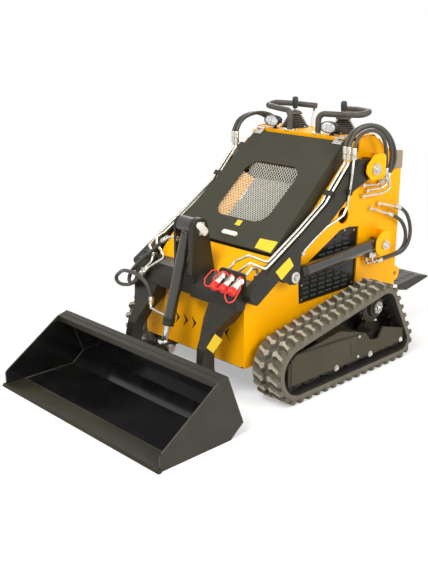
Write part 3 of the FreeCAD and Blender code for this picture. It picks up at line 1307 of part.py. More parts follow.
def make_attach_plate():
    """Plate on the bucket's back with the ears of its pivots and of the tilt rod."""
    plate = slab("AttachSheet", "YZ",
                 folded([along(knee, back_slope, 8, 0), along(knee, back_slope, 212, 0)],
                        -D.attach_sheet),
                 -D.attach_half, D.attach_half * 2)
    seat_low = along(knee, back_slope, 10, -4)
    foot_seat = along(knee, back_slope, 112, -4)
    eye_low = along(knee, back_slope, 60, -4)
    eye_high = along(knee, back_slope, 205, -4)
    parts = [plate]
    reach = D.foot_radius
    for index, low in enumerate((D.leg_low_reach - D.foot_gap - D.ear_wall, D.leg_reach + D.foot_gap)):
        ear = slab(f"FootEar{index}", "YZ",
                   [seat_low, (D.foot_y - 8, D.foot_z - reach + 2), (D.foot_y, D.foot_z),
                    (D.foot_y + 4, D.foot_z + reach - 2), foot_seat], low, D.ear_wall)
        boss = rod_x(f"FootBoss{index}", low, foot, reach, D.ear_wall)
        solid = fuse(f"FootEarSolid{index}", ear, boss)
        parts += [solid, mirrored(f"FootEarMirror{index}", solid)]
    low = D.tilt_rod_eye_half + D.eye_gap
    ear = slab("EyeEar", "YZ",
               [eye_low, (D.tilt_eye_y - 2, D.tilt_eye_z - 26), (D.tilt_eye_y, D.tilt_eye_z),
                (D.tilt_eye_y + 2, D.tilt_eye_z + 26), eye_high], low, D.ear_wall)
    boss = rod_x("EyeBoss", low, tilt_eye, 28, D.ear_wall)
    solid = fuse("EyeEarSolid", ear, boss)
    parts += [solid, mirrored("EyeEarMirror", solid)]
    drill = rod_x("FootDrill", -D.attach_half, foot, D.foot_pin, D.attach_half * 2)
    return cut("AttachPlate", fuse("AttachSolid", *parts), drill)


node("attach_plate", make_attach_plate())


def make_bucket_pins():
    """Two pivot pins, and the heads outside the ears of the tilt rod."""
    start = D.leg_low_reach - D.foot_gap - D.ear_wall
    end = D.leg_reach + D.foot_gap + D.ear_wall
    shank = rod_x("FootPin", start, foot, D.foot_pin, end - start)
    head = rod_x("FootPinHead", end, foot, D.foot_pin + D.pin_lip, D.pin_head)
    pin = fuse("FootPinSolid", shank, head)
    eye_head = rod_x("EyeHead", D.tilt_rod_eye_half + D.eye_gap + D.ear_wall, tilt_eye, 19,
                     D.pin_head + 6)
    return group("BucketPins", pin, mirrored("FootPinMirror", pin),
                 eye_head, mirrored("EyeHeadMirror", eye_head))


node("bucket_pins", make_bucket_pins())


# ---------------------------------------------------------------- hood
def on_hood(points, name, low, thick, round_corners=()):
    """A slab in the hood's own plane: x and the distance up the slope from its lower edge."""
    return tilted(slab(name, "XY", points, low, thick, round_corners=round_corners),
                  hood_low, hood_slope)


sheet_long = hood_long - D.hood_inset
hood_shape = [(-D.hood_low_half, 0), (D.hood_low_half, 0), (D.hood_top_half, sheet_long),
              (-D.hood_top_half, sheet_long)]


def make_window(name, lap, low, thick):
    half, start, end = D.window_half + lap, D.window_low - lap, D.window_high + lap
    corners = [(-half, start), (half, start), (half, end), (-half, end)]
    return on_hood(corners, name, low, thick,
                   [(corner, D.window_corner + lap) for corner in corners])


def make_hood():
    """Hood sheet with its turned edges and the window cut out."""
    sheet = on_hood(hood_shape, "HoodSheet", -D.hood_sheet, D.hood_sheet)
    rim = cut("HoodRim",
              on_hood(hood_shape, "HoodRimOuter", -(D.hood_sheet + D.hood_skirt), D.hood_skirt),
              on_hood(inset(hood_shape, D.hood_sheet), "HoodRimInner",
                      -(D.hood_sheet + D.hood_skirt + 1), D.hood_skirt + 2))
    window = make_window("Window", 0, -(D.hood_sheet + 1), D.hood_sheet + 2)
    return cut("HoodPanel", fuse("HoodSolid", sheet, rim), window)


node("hood_panel", make_hood())
node("hood_mesh", make_window("HoodMesh", D.mesh_lap, -(D.hood_sheet + D.mesh_thick), D.mesh_thick))
hood_hinge = along(hood_low, hood_slope, hood_long, 4)


def make_hood_hinge():
    """Hood leaf of a hinge with its knuckle."""
    inner, outer = D.hood_top_half - 54, D.hood_top_half - 4
    leaf = on_hood([(inner, sheet_long - 24), (outer, sheet_long - 24), (outer, sheet_long),
                    (inner, sheet_long)], "HingeLeaf", 0, 5)
    bridge = on_hood([(inner, sheet_long - 1), (inner + 20, sheet_long - 1),
                      (inner + 20, hood_long), (inner, hood_long)], "HingeBridge", 1, 4)
    knuckle = rod_x("HingeKnuckle", inner, hood_hinge, 6, 20)
    drill = rod_x("HingeDrill", inner - 1, hood_hinge, size(3) + D.rod_play, 22)
    return cut("HoodHinge", fuse("HoodHingeSolid", leaf, bridge, knuckle), drill)


hood_latch = on_hood([(-18, 40), (72, 40), (72, 60), (-18, 60)], "HoodLatch", 0, 6,
                     [((-18, 40), 9.5), ((72, 40), 9.5), ((72, 60), 9.5), ((-18, 60), 9.5)])
hood_hinge_leaf = make_hood_hinge()
node("hood_fittings", group("HoodFittings", hood_latch, hood_hinge_leaf,
                            mirrored("HoodHingeMirror", hood_hinge_leaf)))


def make_deck_hinge():
    """Deck leaf of a hood hinge with its pin."""
    inner = D.hood_top_half - 54
    leaf = box("DeckLeaf", inner + 22, D.hood_top_y + 2, D.deck_top, 26, 34, 4)
    knuckle = rod_x("DeckKnuckle", inner + 22, hood_hinge, 6, 26)
    pin = rod_x("DeckPin", inner, hood_hinge, 3, 48)
    return fuse("DeckHinge", leaf, knuckle, pin)


deck_hinge = make_deck_hinge()
node("deck_hinges", with_mirror("DeckHinges", deck_hinge))


# ---------------------------------------------------------------- platform
def on_step(points, name, low, thick, round_corners=()):
    """A slab in the platform's side plane: distance from the hinge, and height."""
    placed = [along(step_hinge, D.step_tilt, reach, aside) for reach, aside in points]
    return slab(name, "YZ", placed, low, thick, round_corners=round_corners)


def make_platform():
    """Standing platform with turned-down side flanges and hinge ears."""
    tip_drop = size(-20)
    top = D.step_rise + D.step_sheet
    sheet = on_step([(D.step_front, D.step_rise), (D.step_bend, D.step_rise),
                     (D.step_long, tip_drop), (D.step_long, tip_drop + D.step_sheet),
                     (D.step_bend, top), (D.step_front, top)],
                    "StepSheet", -D.step_half, D.step_half * 2)
    flange = on_step([(D.step_front - 8, top), (D.step_front - 8, -16), (D.step_front + 6, -23),
                      (92, -D.step_flange), (D.step_long, -24), (D.step_long, tip_drop),
                      (D.step_bend, D.step_rise)],
                     "StepFlange", D.step_half - D.step_sheet, D.step_sheet)
    low = D.step_lug_reach - 11
    ear = on_step([(0, -12), (50, -12), (50, D.step_rise), (0, 12)], "StepEar", low, 10)
    boss = rod_x("StepEarBoss", low, step_hinge, 14, 10)
    solid = fuse("StepEarSolid", ear, boss)
    bore = rod_x("StepBore", low - 1, step_hinge, D.step_pin + D.pin_gap, 12)
    drilled = cut("StepEarCut", solid, bore)
    return fuse("Platform", sheet, flange, mirrored("StepFlangeMirror", flange), drilled,
                mirrored("StepEarMirror", drilled))


node("platform", make_platform())


# ---------------------------------------------------------------- check and write
def main():
    doc.recompute()
    bad = [thing.Name for thing in doc.Objects
           if "Invalid" in thing.State or "Error" in thing.State]
    if bad:
        raise RuntimeError(f"failed objects: {bad}")
    os.makedirs("parts", exist_ok=True)
    for label, thing in nodes.items():
        shape = thing.Shape
        if shape.isNull() or not shape.isValid() or not shape.Solids:
            raise RuntimeError(f"{label} has no valid solid")
        shape.exportStep(f"parts/{label}.step")
        print(label, len(shape.Solids), round(shape.Volume / 1e6, 3))


main()
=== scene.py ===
# %% [markdown]
# # Stand-on mini track loader
# This notebook dresses a finished CAD model of a small tracked loader. The CAD
# pieces stay where they are; new pieces are modelled round them in metres.
# The machine looks along -Y, its left side is +X and the ground is z = 0.

# %% Load the frame
import math

import bmesh
import bpy
from mathutils import Matrix, Vector


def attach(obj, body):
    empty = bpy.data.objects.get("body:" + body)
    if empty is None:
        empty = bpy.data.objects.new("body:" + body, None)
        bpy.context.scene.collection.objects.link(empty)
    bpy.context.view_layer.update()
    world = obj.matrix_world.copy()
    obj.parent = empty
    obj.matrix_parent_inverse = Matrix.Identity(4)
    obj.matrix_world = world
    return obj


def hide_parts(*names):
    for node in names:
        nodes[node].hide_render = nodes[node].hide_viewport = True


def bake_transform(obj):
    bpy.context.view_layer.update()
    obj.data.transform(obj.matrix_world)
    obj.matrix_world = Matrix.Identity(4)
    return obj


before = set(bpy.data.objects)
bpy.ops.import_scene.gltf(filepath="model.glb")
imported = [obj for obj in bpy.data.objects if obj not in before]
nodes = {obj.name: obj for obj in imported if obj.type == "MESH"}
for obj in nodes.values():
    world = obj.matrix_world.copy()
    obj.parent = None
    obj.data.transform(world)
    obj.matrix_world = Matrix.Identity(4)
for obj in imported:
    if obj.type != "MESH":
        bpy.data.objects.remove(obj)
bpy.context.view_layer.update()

# %% [markdown]
# ## Camera and daylight studio
# The machine stands on a white sweep and is seen from its front left, a little
# from above. A long lens keeps its edges almost parallel. Three soft area lamps
# and a pale world give even light with a weak shadow under the machine.


# %% Camera
def add(name, data):
    """A new object at the origin, linked to the scene."""
    made = bpy.data.objects.new(name, data)
    bpy.context.scene.collection.objects.link(made)
    return made


VIEW_AZIMUTH, VIEW_ELEVATION, VIEW_ROLL = 46.4, 17.7, -0.1
CAMERA_PLACE, LENS_LENGTH, SENSOR_WIDTH = (2.767, -2.873, 1.646), 55.3, 36
azimuth, elevation = math.radians(VIEW_AZIMUTH), math.radians(VIEW_ELEVATION)
camera_back = Vector((math.sin(azimuth) * math.cos(elevation),
    -math.cos(azimuth) * math.cos(elevation), math.sin(elevation)))
camera_data = bpy.data.cameras.new("camera")
camera_data.sensor_width = SENSOR_WIDTH
camera_data.lens = LENS_LENGTH
camera = add("camera", camera_data)
camera.rotation_mode = "QUATERNION"
camera.rotation_quaternion = ((-camera_back).to_track_quat("-Z", "Y")
    @ Matrix.Rotation(math.radians(VIEW_ROLL), 4, "Z").to_quaternion())
camera.location = CAMERA_PLACE
bpy.context.scene.camera = camera
bpy.context.scene.view_settings.view_transform = "Standard"


# %% Shader helper
class Wire:
    """A shader socket that takes Python's own arithmetic."""

    def __init__(self, maker, socket):
        self.maker, self.socket = maker, socket

    def math(self, operation, *others):
        return self.maker.node("ShaderNodeMath", {"operation": operation},
            dict(enumerate([self, *others])))

    def __add__(self, other):
        return self.math("ADD", other)

    def __sub__(self, other):
        return self.math("SUBTRACT", other)

    def __mul__(self, other):
        return self.math("MULTIPLY", other)

    def __rsub__(self, other):
        return self.maker.node("ShaderNodeMath", {"operation": "SUBTRACT"}, {0: other, 1: self})

    __radd__, __rmul__ = __add__, __mul__


class Graph:
    """Adds nodes to one node tree."""

    def __init__(self, tree):
        self.tree = tree

    def put(self, socket, value):
        if isinstance(value, Wire):
            self.tree.links.new(value.socket, socket)
        else:
            socket.default_value = value

    def node(self, kind, settings, inputs, output=0):
        made = self.tree.nodes.new(kind)
        for name, value in settings.items():
            setattr(made, name, value)
        for name, value in inputs.items():
            self.put(made.inputs[name], value)
        return Wire(self, made.outputs[output])


class Finish(Graph):
    """Builds one material round a Principled shader."""

    def __init__(self, name):
        self.material = bpy.data.materials.new(name)
        self.material.use_nodes = True
        super().__init__(self.material.node_tree)
        self.shader = self.tree.nodes["Principled BSDF"]
        self.place = self.node("ShaderNodeTexCoord", {}, {}, "Object")

    def axis(self, letter):
        return self.node("ShaderNodeSeparateXYZ", {}, {0: self.place}, letter)

    def noise(self, scale, detail=3, roughness=0.6, place=None):
        return self.node("ShaderNodeTexNoise", {}, {"Vector": place or self.place, "Scale": scale,
            "Detail": detail, "Roughness": roughness})

    def ramp(self, value, low, high):
        return self.node("ShaderNodeMapRange", {"clamp": True},
            {"Value": value, "From Min": low, "From Max": high})

    def mix(self, factor, one, two):
        made = self.tree.nodes.new("ShaderNodeMix")
        made.data_type = "RGBA"
        self.put(made.inputs["Factor"], factor)
        for slot, value in ((6, one), (7, two)):
            self.put(made.inputs[slot], value if isinstance(value, Wire) else (*value, 1))
        return Wire(self, made.outputs[2])

    def bump(self, height, strength, distance=0.002):
        return self.node("ShaderNodeBump", {}, {"Height": height, "Strength": strength,
            "Distance": distance})

    def set(self, **values):
        for name, value in values.items():
            socket = self.shader.inputs[name.replace("_", " ")]
            if socket.type == "RGBA" and not isinstance(value, Wire):
                value = (*value, 1)
            self.put(socket, value)
        return self.material


# %% [markdown]
# ## Paints
# Powder coat isn't perfectly flat: it has a faint orange peel, it's a little
# duller where dust sits, and it changes tone slowly over a large panel. Those
# three are noises at three sizes, added to one Principled shader.

# %% Paint finishes
def paint(name, colour, dust, roughness, peel=0.1, dusty=0.35, coat=0.0, shine=0.22):
    """Sprayed or powder-coated steel with fine peel and a thin uneven film of dust."""
    finish = Finish(name)
    cloud = finish.noise(3.5, 4)
    grain = finish.noise(260, 2)
    film = finish.ramp(cloud + finish.noise(38, 5) * 0.5, 0.62, 1.05) * dusty
    return finish.set(Base_Color=finish.mix(film, colour, dust),
        Roughness=film * 0.5 + (roughness - 0.03) + grain * 0.06,
        Normal=finish.bump(grain, peel, 0.0006), Coat_Weight=coat, Coat_Roughness=0.12,
        Specular_IOR_Level=shine)


body_yellow = paint("body_yellow", (1.0, 0.44, 0.0), (0.95, 0.4, 0.0), 0.36, shine=0.12)
cylinder_black = paint("cylinder_black", (0.02, 0.018, 0.013), (0.06, 0.054, 0.04), 0.24,
    peel=0.02, dusty=0.3, coat=0.6, shine=0.5)
frame_black = paint("frame_black", (0.017, 0.015, 0.009), (0.06, 0.053, 0.036), 0.3, dusty=0.45,
    shine=0.3)
hood_black = paint("hood_black", (0.046, 0.044, 0.03), (0.074, 0.071, 0.05), 0.5, dusty=0.45,
    shine=0.12)
bucket_rim = paint("bucket_rim", (0.02, 0.017, 0.009), (0.045, 0.04, 0.025), 0.36, dusty=0.6)
# Paler black for the bucket's beads: partly wear, partly painted highlight along the edges.
bucket_wear_and_highlight = paint("bucket_wear_and_highlight", (0.045, 0.041, 0.029), (0.12, 0.11, 0.085), 0.4, dusty=0.8)
frame_grey = paint("frame_grey", (0.047, 0.041, 0.024), (0.095, 0.083, 0.055), 0.5, dusty=0.6,
    shine=0.14)
roller_black = paint("roller_black", (0.018, 0.017, 0.014), (0.05, 0.046, 0.036), 0.5, dusty=0.6)
engine_grey = paint("engine_grey", (0.05, 0.049, 0.046), (0.1, 0.095, 0.085), 0.5)
label_yellow = paint("label_yellow", (0.86, 0.6, 0.035), (0.66, 0.47, 0.08), 0.4, peel=0.03,
    shine=0.1)
bucket = Finish("bucket_black")
outside = bucket.ramp(bucket.axis("X").math("ABSOLUTE"), 0.5405, 0.5415).math(
    "MAXIMUM", bucket.ramp(bucket.axis("Z"), 0.2405, 0.2415))
smear = bucket.ramp(bucket.noise(9, 5), 0.45, 0.75)
speck = bucket.noise(240, 2)
inner_colour = bucket.mix(smear * 0.6, (0.006, 0.006, 0.006), (0.016, 0.015, 0.012))
outer_colour = bucket.mix(smear * 0.5, (0.022, 0.019, 0.01), (0.042, 0.037, 0.023))
bucket_black = bucket.set(Base_Color=bucket.mix(outside, inner_colour, outer_colour),
    Roughness=outside * 0.16 + smear * 0.12 + 0.14, Normal=bucket.bump(speck, 0.05, 0.0005),
    Specular_IOR_Level=0.3, Coat_Weight=(1.0 - outside) * 0.45 + 0.03, Coat_Roughness=0.1)

# %% [markdown]
# ## Metals, rubber and plastics
# Zinc-plated steel is warm and slightly blotchy. Chrome is smooth. The tracks
# are rubber under a dry grey-brown dust, whose lug tops are rubbed paler. The
# bellows carry painted light: their ribs are painted pale as a highlight and the
# grooves between them near-black as painted shade, and the height in the bellows
# tells one from the other.


# %% Other finishes
def metal(name, colour, roughness, blotch=0.1, scale=60):
    finish = Finish(name)
    tone = finish.noise(scale, 4)
    dark = tuple(value * 0.72 for value in colour)
    return finish.set(Base_Color=finish.mix(finish.ramp(tone, 0.35, 0.7), dark, colour),
        Metallic=1.0, Roughness=tone * blotch + (roughness - blotch / 2),
        Normal=finish.bump(finish.noise(420, 2), 0.08, 0.0004))


def rubber(name, colour, dust, dusty=0.5, roughness=0.62, scale=24):
    finish = Finish(name)
    film = finish.ramp(finish.noise(scale, 6, 0.7), 0.35, 0.72) * dusty
    grain = finish.noise(520, 3)
    return finish.set(Base_Color=finish.mix(film, colour, dust),
        Roughness=film * 0.25 + roughness, Specular_IOR_Level=0.3,
        Normal=finish.bump(grain, 0.25, 0.0008))


zinc = metal("zinc", (0.8, 0.76, 0.68), 0.34, 0.2)
tube_zinc = metal("tube_zinc", (0.84, 0.8, 0.68), 0.3, 0.16)
chrome = metal("chrome", (0.86, 0.86, 0.84), 0.12, 0.05)
mesh_steel = paint("mesh_steel", (0.6, 0.58, 0.49), (0.42, 0.4, 0.33), 0.45, shine=0.4)
track_rubber = rubber("track_rubber", (0.108, 0.096, 0.069), (0.185, 0.165, 0.122), 0.8, 0.75)
lug_rubber = rubber("lug_rubber", (0.31, 0.28, 0.21), (0.5, 0.46, 0.36), 0.9, 0.75, 60)
bellows_rubber = Finish("bellows_rubber")
# Painted light: the rib crests are painted pale as a highlight and the grooves near-black as
# painted shade, chosen by a ping-pong of the height.
groove_shade_phase = (bellows_rubber.axis("Z") - 1.0352).math("PINGPONG", 0.0044)
grip = bellows_rubber.mix(bellows_rubber.ramp(groove_shade_phase, 0.0016, 0.0036), (0.135, 0.122, 0.095),
    (0.014, 0.013, 0.01))
bellows_rubber.set(Base_Color=grip, Roughness=bellows_rubber.noise(30) * 0.2 + 0.4,
    Specular_IOR_Level=0.3)
# Near-black rubber for the inside of the track band; the same material is painted shade in slots,
# holes, cut-outs, the lip crease and behind openings.
dark_rubber_and_painted_shade = rubber("dark_rubber_and_painted_shade", (0.016, 0.015, 0.012), (0.04, 0.036, 0.028), 0.6, 0.8)
hose_rubber = rubber("hose_rubber", (0.05, 0.046, 0.037), (0.1, 0.093, 0.077), 0.5, 0.38, 12)
soft_black = rubber("soft_black", (0.06, 0.055, 0.044), (0.12, 0.11, 0.09), 0.5, 0.45)
pad_brown = rubber("pad_brown", (0.3, 0.24, 0.15), (0.36, 0.3, 0.2), 0.5, 0.7)
cap_red = rubber("cap_red", (0.78, 0.035, 0.025), (0.86, 0.12, 0.09), 0.4, 0.38)
plastic_black = rubber("plastic_black", (0.03, 0.03, 0.03), (0.07, 0.068, 0.065), 0.3, 0.4)

# %% Finish of each CAD node
finish_of = {
    body_yellow: ["side_plate_left", "side_plate_right", "tower_left", "tower_right",
                  "front_panel", "front_cowl", "rear_panel", "top_deck"],
    frame_black: ["arm_left", "arm_right", "cross_member", "attach_plate", "tube_clamps",
                  "coupler_bracket", "floor_frame", "platform"],
    soft_black: ["control_levers", "hand_bars"],
    cylinder_black: ["lift_barrel_left", "lift_barrel_right", "tilt_barrel"],
    hood_black: ["hood_panel"],
    frame_grey: ["track_frame_left", "track_frame_right", "sprocket_left", "sprocket_right"],
    roller_black: ["rollers_left", "rollers_right"],
    bucket_black: ["bucket_shell"],
    bucket_rim: ["cutting_edge"],
    engine_grey: ["engine_block", "side_grilles"],
    zinc: ["tower_pins", "arm_pins", "bucket_pins", "hood_fittings", "deck_hinges", "couplers"],
    tube_zinc: ["arm_tubes", "frame_tubes", "lift_ports_left", "lift_ports_right", "tilt_ports"],
    chrome: ["lift_rod_left", "lift_rod_right", "tilt_rod"],
    mesh_steel: ["hood_mesh"],
    track_rubber: ["track_left", "track_right"],
    hose_rubber: ["arch_hoses", "lift_hoses_left", "lift_hoses_right", "tilt_hoses"],
    pad_brown: ["side_pads"],
    cap_red: ["coupler_caps", "cap_leashes"],
    plastic_black: ["lamps"],
}
for material, names in finish_of.items():
    for name in names:
        mesh = nodes[name].data
        mesh.materials.clear()
        mesh.materials.append(material)
left_over = set(nodes) - {name for names in finish_of.values() for name in names}
print("nodes without a finish", sorted(left_over))

# %% [markdown]
# ## Shaping tools
# Real parts of this machine are folded, turned, sawn or moulded. The same four
# ideas make most of the new pieces: a chain of points that is turned into a ring
# of material, an outline that is given a thickness, a hexagon with a washer for
# fasteners, and a thin bevel where an edge shows, because no real edge is sharp.

# %% Shaping tools
SIDES = ((1, "left"), (-1, "right"))
SIDE_PLANES = {side: Matrix(((0, 0, side, 0), (1, 0, 0, 0), (0, 1, 0, 0), (0, 0, 0, 1)))
    for side in (1, -1)}


def mm(*points):
    """Points given in millimetres, as a list in metres."""
    return [tuple(value / 1000 for value in point) for point in points]


def at(x, y, z):
    return Matrix.Translation((x, y, z))


def turn(degrees, axis):
    return Matrix.Rotation(math.radians(degrees), 4, axis)


def leaning(across, up, axis):
    """A turn by the slope of a run."""
    return Matrix.Rotation(math.atan2(up, across), 4, axis)


def pointing(start, end):
    """A place at the start whose local Z runs towards the end, and the distance."""
    way = Vector(end) - Vector(start)
    place = Matrix.Translation(start) @ way.to_track_quat("Z", "Y").to_matrix().to_4x4()
    return place, way.length


def facing_x(side, x, y, z):
    """Local Z points outwards, along +X on the left side and -X on the right."""
    return at(side * x, y, z) @ turn(90 * side, "Y")


def side_plane(side, x, y=0, z=0):
    """Local X runs along +Y, local Y along +Z, and local Z points outwards."""
    return at(side * x, y, z) @ SIDE_PLANES[side]


def fresh(shape, before):
    return [vert for vert in shape.verts if vert not in before]


def only(parts, kind):
    return [part for part in parts if isinstance(part, kind)]


def tint(shape, done, index):
    """Gives every face that isn't among the done ones another material."""
    for face in shape.faces:
        if face not in done:
            face.material_index = index


def ease(shape, geom, offset, affect="EDGES", segments=2, clamp=False):
    """Takes the sharpness off edges or corners."""
    bmesh.ops.bevel(shape, geom=geom, offset=offset, offset_type="OFFSET", affect=affect,
        segments=segments, profile=0.5, material=-1, clamp_overlap=clamp)


def box(left, low, right, high):
    """Outline of a rectangle."""
    return [(left, low), (right, low), (right, high), (left, high)]


def circle_of(count, radius):
    """Evenly spaced points on a circle."""
    angles = [math.tau * index / count for index in range(count)]
    return [(radius * math.cos(angle), radius * math.sin(angle)) for angle in angles]


def chain(shape, points):
    """A row of vertices joined by edges."""
    first = bmesh.ops.create_vert(shape, co=points[0])["vert"][0]
    verts = [first]
    for point in points[1:]:
        grown = bmesh.ops.extrude_vert_indiv(shape, verts=[verts[-1]])["verts"][0]
        bmesh.ops.translate(shape, verts=[grown], vec=Vector(point) - grown.co)
        verts.append(grown)
    return verts


def turned(shape, profile, place, steps=28):
    """A body of revolution: (radius, height) pairs turned about the local Z axis."""
    before = set(shape.verts)
    verts = chain(shape, [(radius, 0, height) for radius, height in profile])
    edges = [edge for edge in shape.edges if edge.verts[0] in verts and edge.verts[1] in verts]
    bmesh.ops.spin(shape, geom=verts + edges, cent=(0, 0, 0), axis=(0, 0, 1), angle=math.tau,
        steps=steps, use_merge=True)
    bmesh.ops.remove_doubles(shape, verts=fresh(shape, before), dist=1e-6)
    bmesh.ops.transform(shape, matrix=place, verts=fresh(shape, before))


def shifted(profile, radius, height):
    return [(radius + across, height + up) for across, up in profile]


def ribs(count, low, pitch, profile, grow=0.0):
    """A profile repeated upwards, each time by one pitch and wider by the growth."""
    return [point for index in range(count) for point in shifted(profile, index * grow,
        low + index * pitch)]


def disc(shape, radius, high, place, steps=20):
    turned(shape, [(0, 0), (radius, 0), (radius, high), (0, high)], place, steps)


def dome(shape, place, radius, shoulder, rise, crown, high):
    """Head of a small domed screw."""
    turned(shape, [(0, 0), (radius, 0), (shoulder, rise), (crown, high), (0, high)], place, 14)


def six_sided(shape, radius, high, place):
    """A hexagonal collar, centred on its place."""
    before = set(shape.verts)
    bmesh.ops.create_cone(shape, cap_ends=True, segments=6, radius1=radius, radius2=radius,
        depth=high)
    bmesh.ops.transform(shape, matrix=place, verts=fresh(shape, before))


def sheet_of(shape, outline, thick, place, edge=0.0):
    """A flat outline in local XY given a thickness along local Z, its edges eased if asked."""
    before = set(shape.verts)
    verts = chain(shape, [(x, y, 0) for x, y in outline])
    face = bmesh.ops.contextual_create(shape, geom=verts)["faces"][0]
    grown = bmesh.ops.extrude_face_region(shape, geom=[face])["geom"]
    bmesh.ops.translate(shape, verts=only(grown, bmesh.types.BMVert), vec=(0, 0, thick))
    if edge:
        made = fresh(shape, before)
        edges = [line for line in shape.edges if line.verts[0] in made]
        ease(shape, edges, edge, clamp=True)
    bmesh.ops.transform(shape, matrix=place, verts=fresh(shape, before))


def rounded(outline, radius, steps=4):
    """The outline with every corner replaced by a short arc."""
    result = []
    count = len(outline)
    for index, corner in enumerate(outline):
        corner = Vector(corner)
        before, after = Vector(outline[index - 1]), Vector(outline[(index + 1) % count])
        one, two = (before - corner).normalized(), (after - corner).normalized()
        half = one.angle(two) / 2
        reach = min(radius / math.tan(half), (before - corner).length * 0.49,
            (after - corner).length * 0.49)
        for step in range(steps + 1):
            share = step / steps
            start, end = corner + one * reach, corner + two * reach
            result.append(start.lerp(corner, share).lerp(corner.lerp(end, share), share))
    return [tuple(point) for point in result]


def hexagon(shape, radius, high, place):
    """Head of a hexagon bolt on its washer, the rim of its top eased."""
    disc(shape, radius * 1.45, high * 0.2, place)
    before = set(shape.verts)
    bmesh.ops.create_cone(shape, cap_ends=True, segments=6, radius1=radius, radius2=radius,
        depth=high * 0.8)
    made = fresh(shape, before)
    rim = [edge for edge in shape.edges if edge.verts[0] in made and edge.verts[0].co.z > 0
        and edge.verts[1].co.z > 0]
    ease(shape, rim, radius * 0.12)
    bmesh.ops.transform(shape, matrix=place @ at(0, 0, high * 0.6), verts=fresh(shape, before))


def piece(name, shape, materials, body, angle=35):
    """Makes an object of a shape, smooths its gentle edges and hangs it on a CAD body."""
    bmesh.ops.recalc_face_normals(shape, faces=shape.faces)
    mesh = bpy.data.meshes.new(name)
    shape.to_mesh(mesh)
    shape.free()
    for material in materials:
        mesh.materials.append(material)
    mesh.shade_smooth()
    mesh.set_sharp_from_angle(angle=math.radians(angle))
    made = add(name, mesh)
    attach(made, body)
    return made


# %% [markdown]
# ## Rubber tracks
# A rubber track is one moulded loop with steel cords inside. Lugs stand on its
# outside in two columns, each a slanted block with a broad inner end. The band
# is made from one rectangle that is drawn along the three straight runs and
# spun round the front idler, the rear idler and the drive sprocket.

# %% Track loop
TRACK_NEAR, TRACK_FAR, LUG_HIGH, TRACK_DEEP = 0.515, 0.346, 0.02, 0.045
LUG_PITCH, LUG_COLUMNS, GUIDE_HALF_GAP, GUIDE_HIGH = 0.057, ((0.48, 0), (0.397, 1)), 0.016, 0.02
BAND_CORNER, LOOP_HEART = 0.005, (0.17, 0.17)
wheels = [(Vector((-0.212, 0.15)), 0.15), (Vector((0.535, 0.088)), 0.088),
    (Vector((0.385, 0.288)), 0.122)]
following = wheels[1:] + wheels[:1]
leans = []
for (centre, radius), (other, other_radius) in zip(wheels, following):
    gap = other - centre
    leans.append(math.atan2(gap.y, gap.x) - math.acos((radius - other_radius) / gap.length))
runs, turns = [], []
for index, ((centre, radius), (other, other_radius)) in enumerate(zip(wheels, following)):
    lean, next_lean = leans[index], leans[(index + 1) % 3]
    side = Vector((math.cos(lean), math.sin(lean)))
    runs.append((centre + side * radius, other + side * other_radius, side))
    turns.append((other, other_radius, lean, (next_lean - lean) % math.tau))
loop_long = sum((end - start).length for start, end, side in runs) + sum(radius * swing
    for centre, radius, lean, swing in turns)
LUG_COUNT = round(loop_long / LUG_PITCH)
print("track loop", round(loop_long, 3), "m with", LUG_COUNT, "lugs in a column")


def on_loop(distance):
    """Place and outward direction on the loop of the lug tips."""
    for (start, end, side), (centre, radius, lean, swing) in zip(runs, turns):
        long = (end - start).length
        if distance <= long:
            return start.lerp(end, distance / long), math.atan2(side.y, side.x)
        distance -= long
        if distance <= radius * swing:
            angle = lean + distance / radius
            return centre + radius * Vector((math.cos(angle), math.sin(angle))), angle
        distance -= radius * swing
    return runs[0][0], leans[0]


def loop_spot(x, step):
    """The place a number of lug pitches along the loop, local Z pointing outwards."""
    place, angle = on_loop(step * loop_long / LUG_COUNT)
    return at(x, place.x, place.y) @ Matrix.Rotation(angle - math.pi / 2, 4, "X")


def make_band(shape, low, high):
    """The band without its lugs, drawn along the runs and spun round the wheels."""
    start, end, side = runs[0]
    outward = Vector((0, side.x, side.y))
    forward = Vector((0, end.x - start.x, end.y - start.y)).normalized()
    grid = bmesh.ops.create_grid(shape, x_segments=1, y_segments=1, size=0.5)["verts"]
    middle = Vector(((low + high) / 2, start.x, start.y)) - outward * (LUG_HIGH + TRACK_DEEP) / 2
    frame_of = Matrix(((1, 0, 0), outward, forward)).transposed().to_4x4()
    stretch = Matrix.Diagonal((high - low, TRACK_DEEP - LUG_HIGH, 1, 1))
    bmesh.ops.transform(shape, matrix=Matrix.Translation(middle) @ frame_of @ stretch, verts=grid)
    ease(shape, grid, BAND_CORNER, "VERTICES")
    bmesh.ops.delete(shape, geom=shape.faces[:], context="FACES_ONLY")
    ring = shape.edges[:]
    for (start, end, side), (centre, radius, lean, swing) in zip(runs, turns):
        step = Vector((0, end.x - start.x, end.y - start.y))
        ring = bmesh.ops.extrude_edge_only(shape, edges=ring)["geom"]
        bmesh.ops.translate(shape, verts=only(ring, bmesh.types.BMVert), vec=step)
        last = bmesh.ops.spin(shape, geom=only(ring, bmesh.types.BMEdge),
            cent=(0, centre.x, centre.y), axis=(1, 0, 0), angle=swing,
            steps=max(6, round(math.degrees(swing) / 7)))
        ring = only(last["geom_last"], bmesh.types.BMEdge)
    bmesh.ops.remove_doubles(shape, verts=shape.verts, dist=2e-5)
    bmesh.ops.recalc_face_normals(shape, faces=shape.faces)
    for face in shape.faces:
        centre = face.calc_center_median()
        loop_heart = Vector((centre.x, *LOOP_HEART))
        if abs(face.normal.x) < 0.5 and face.normal.dot(loop_heart - centre) > 0:
            face.material_index = 2


LUG_PLAN = mm((-33.5, 9.5), (-17, 21.5), (-2, 8.5), (32, -4), (30, -22.5), (-6, -7.5),
    (-27, -11.5))


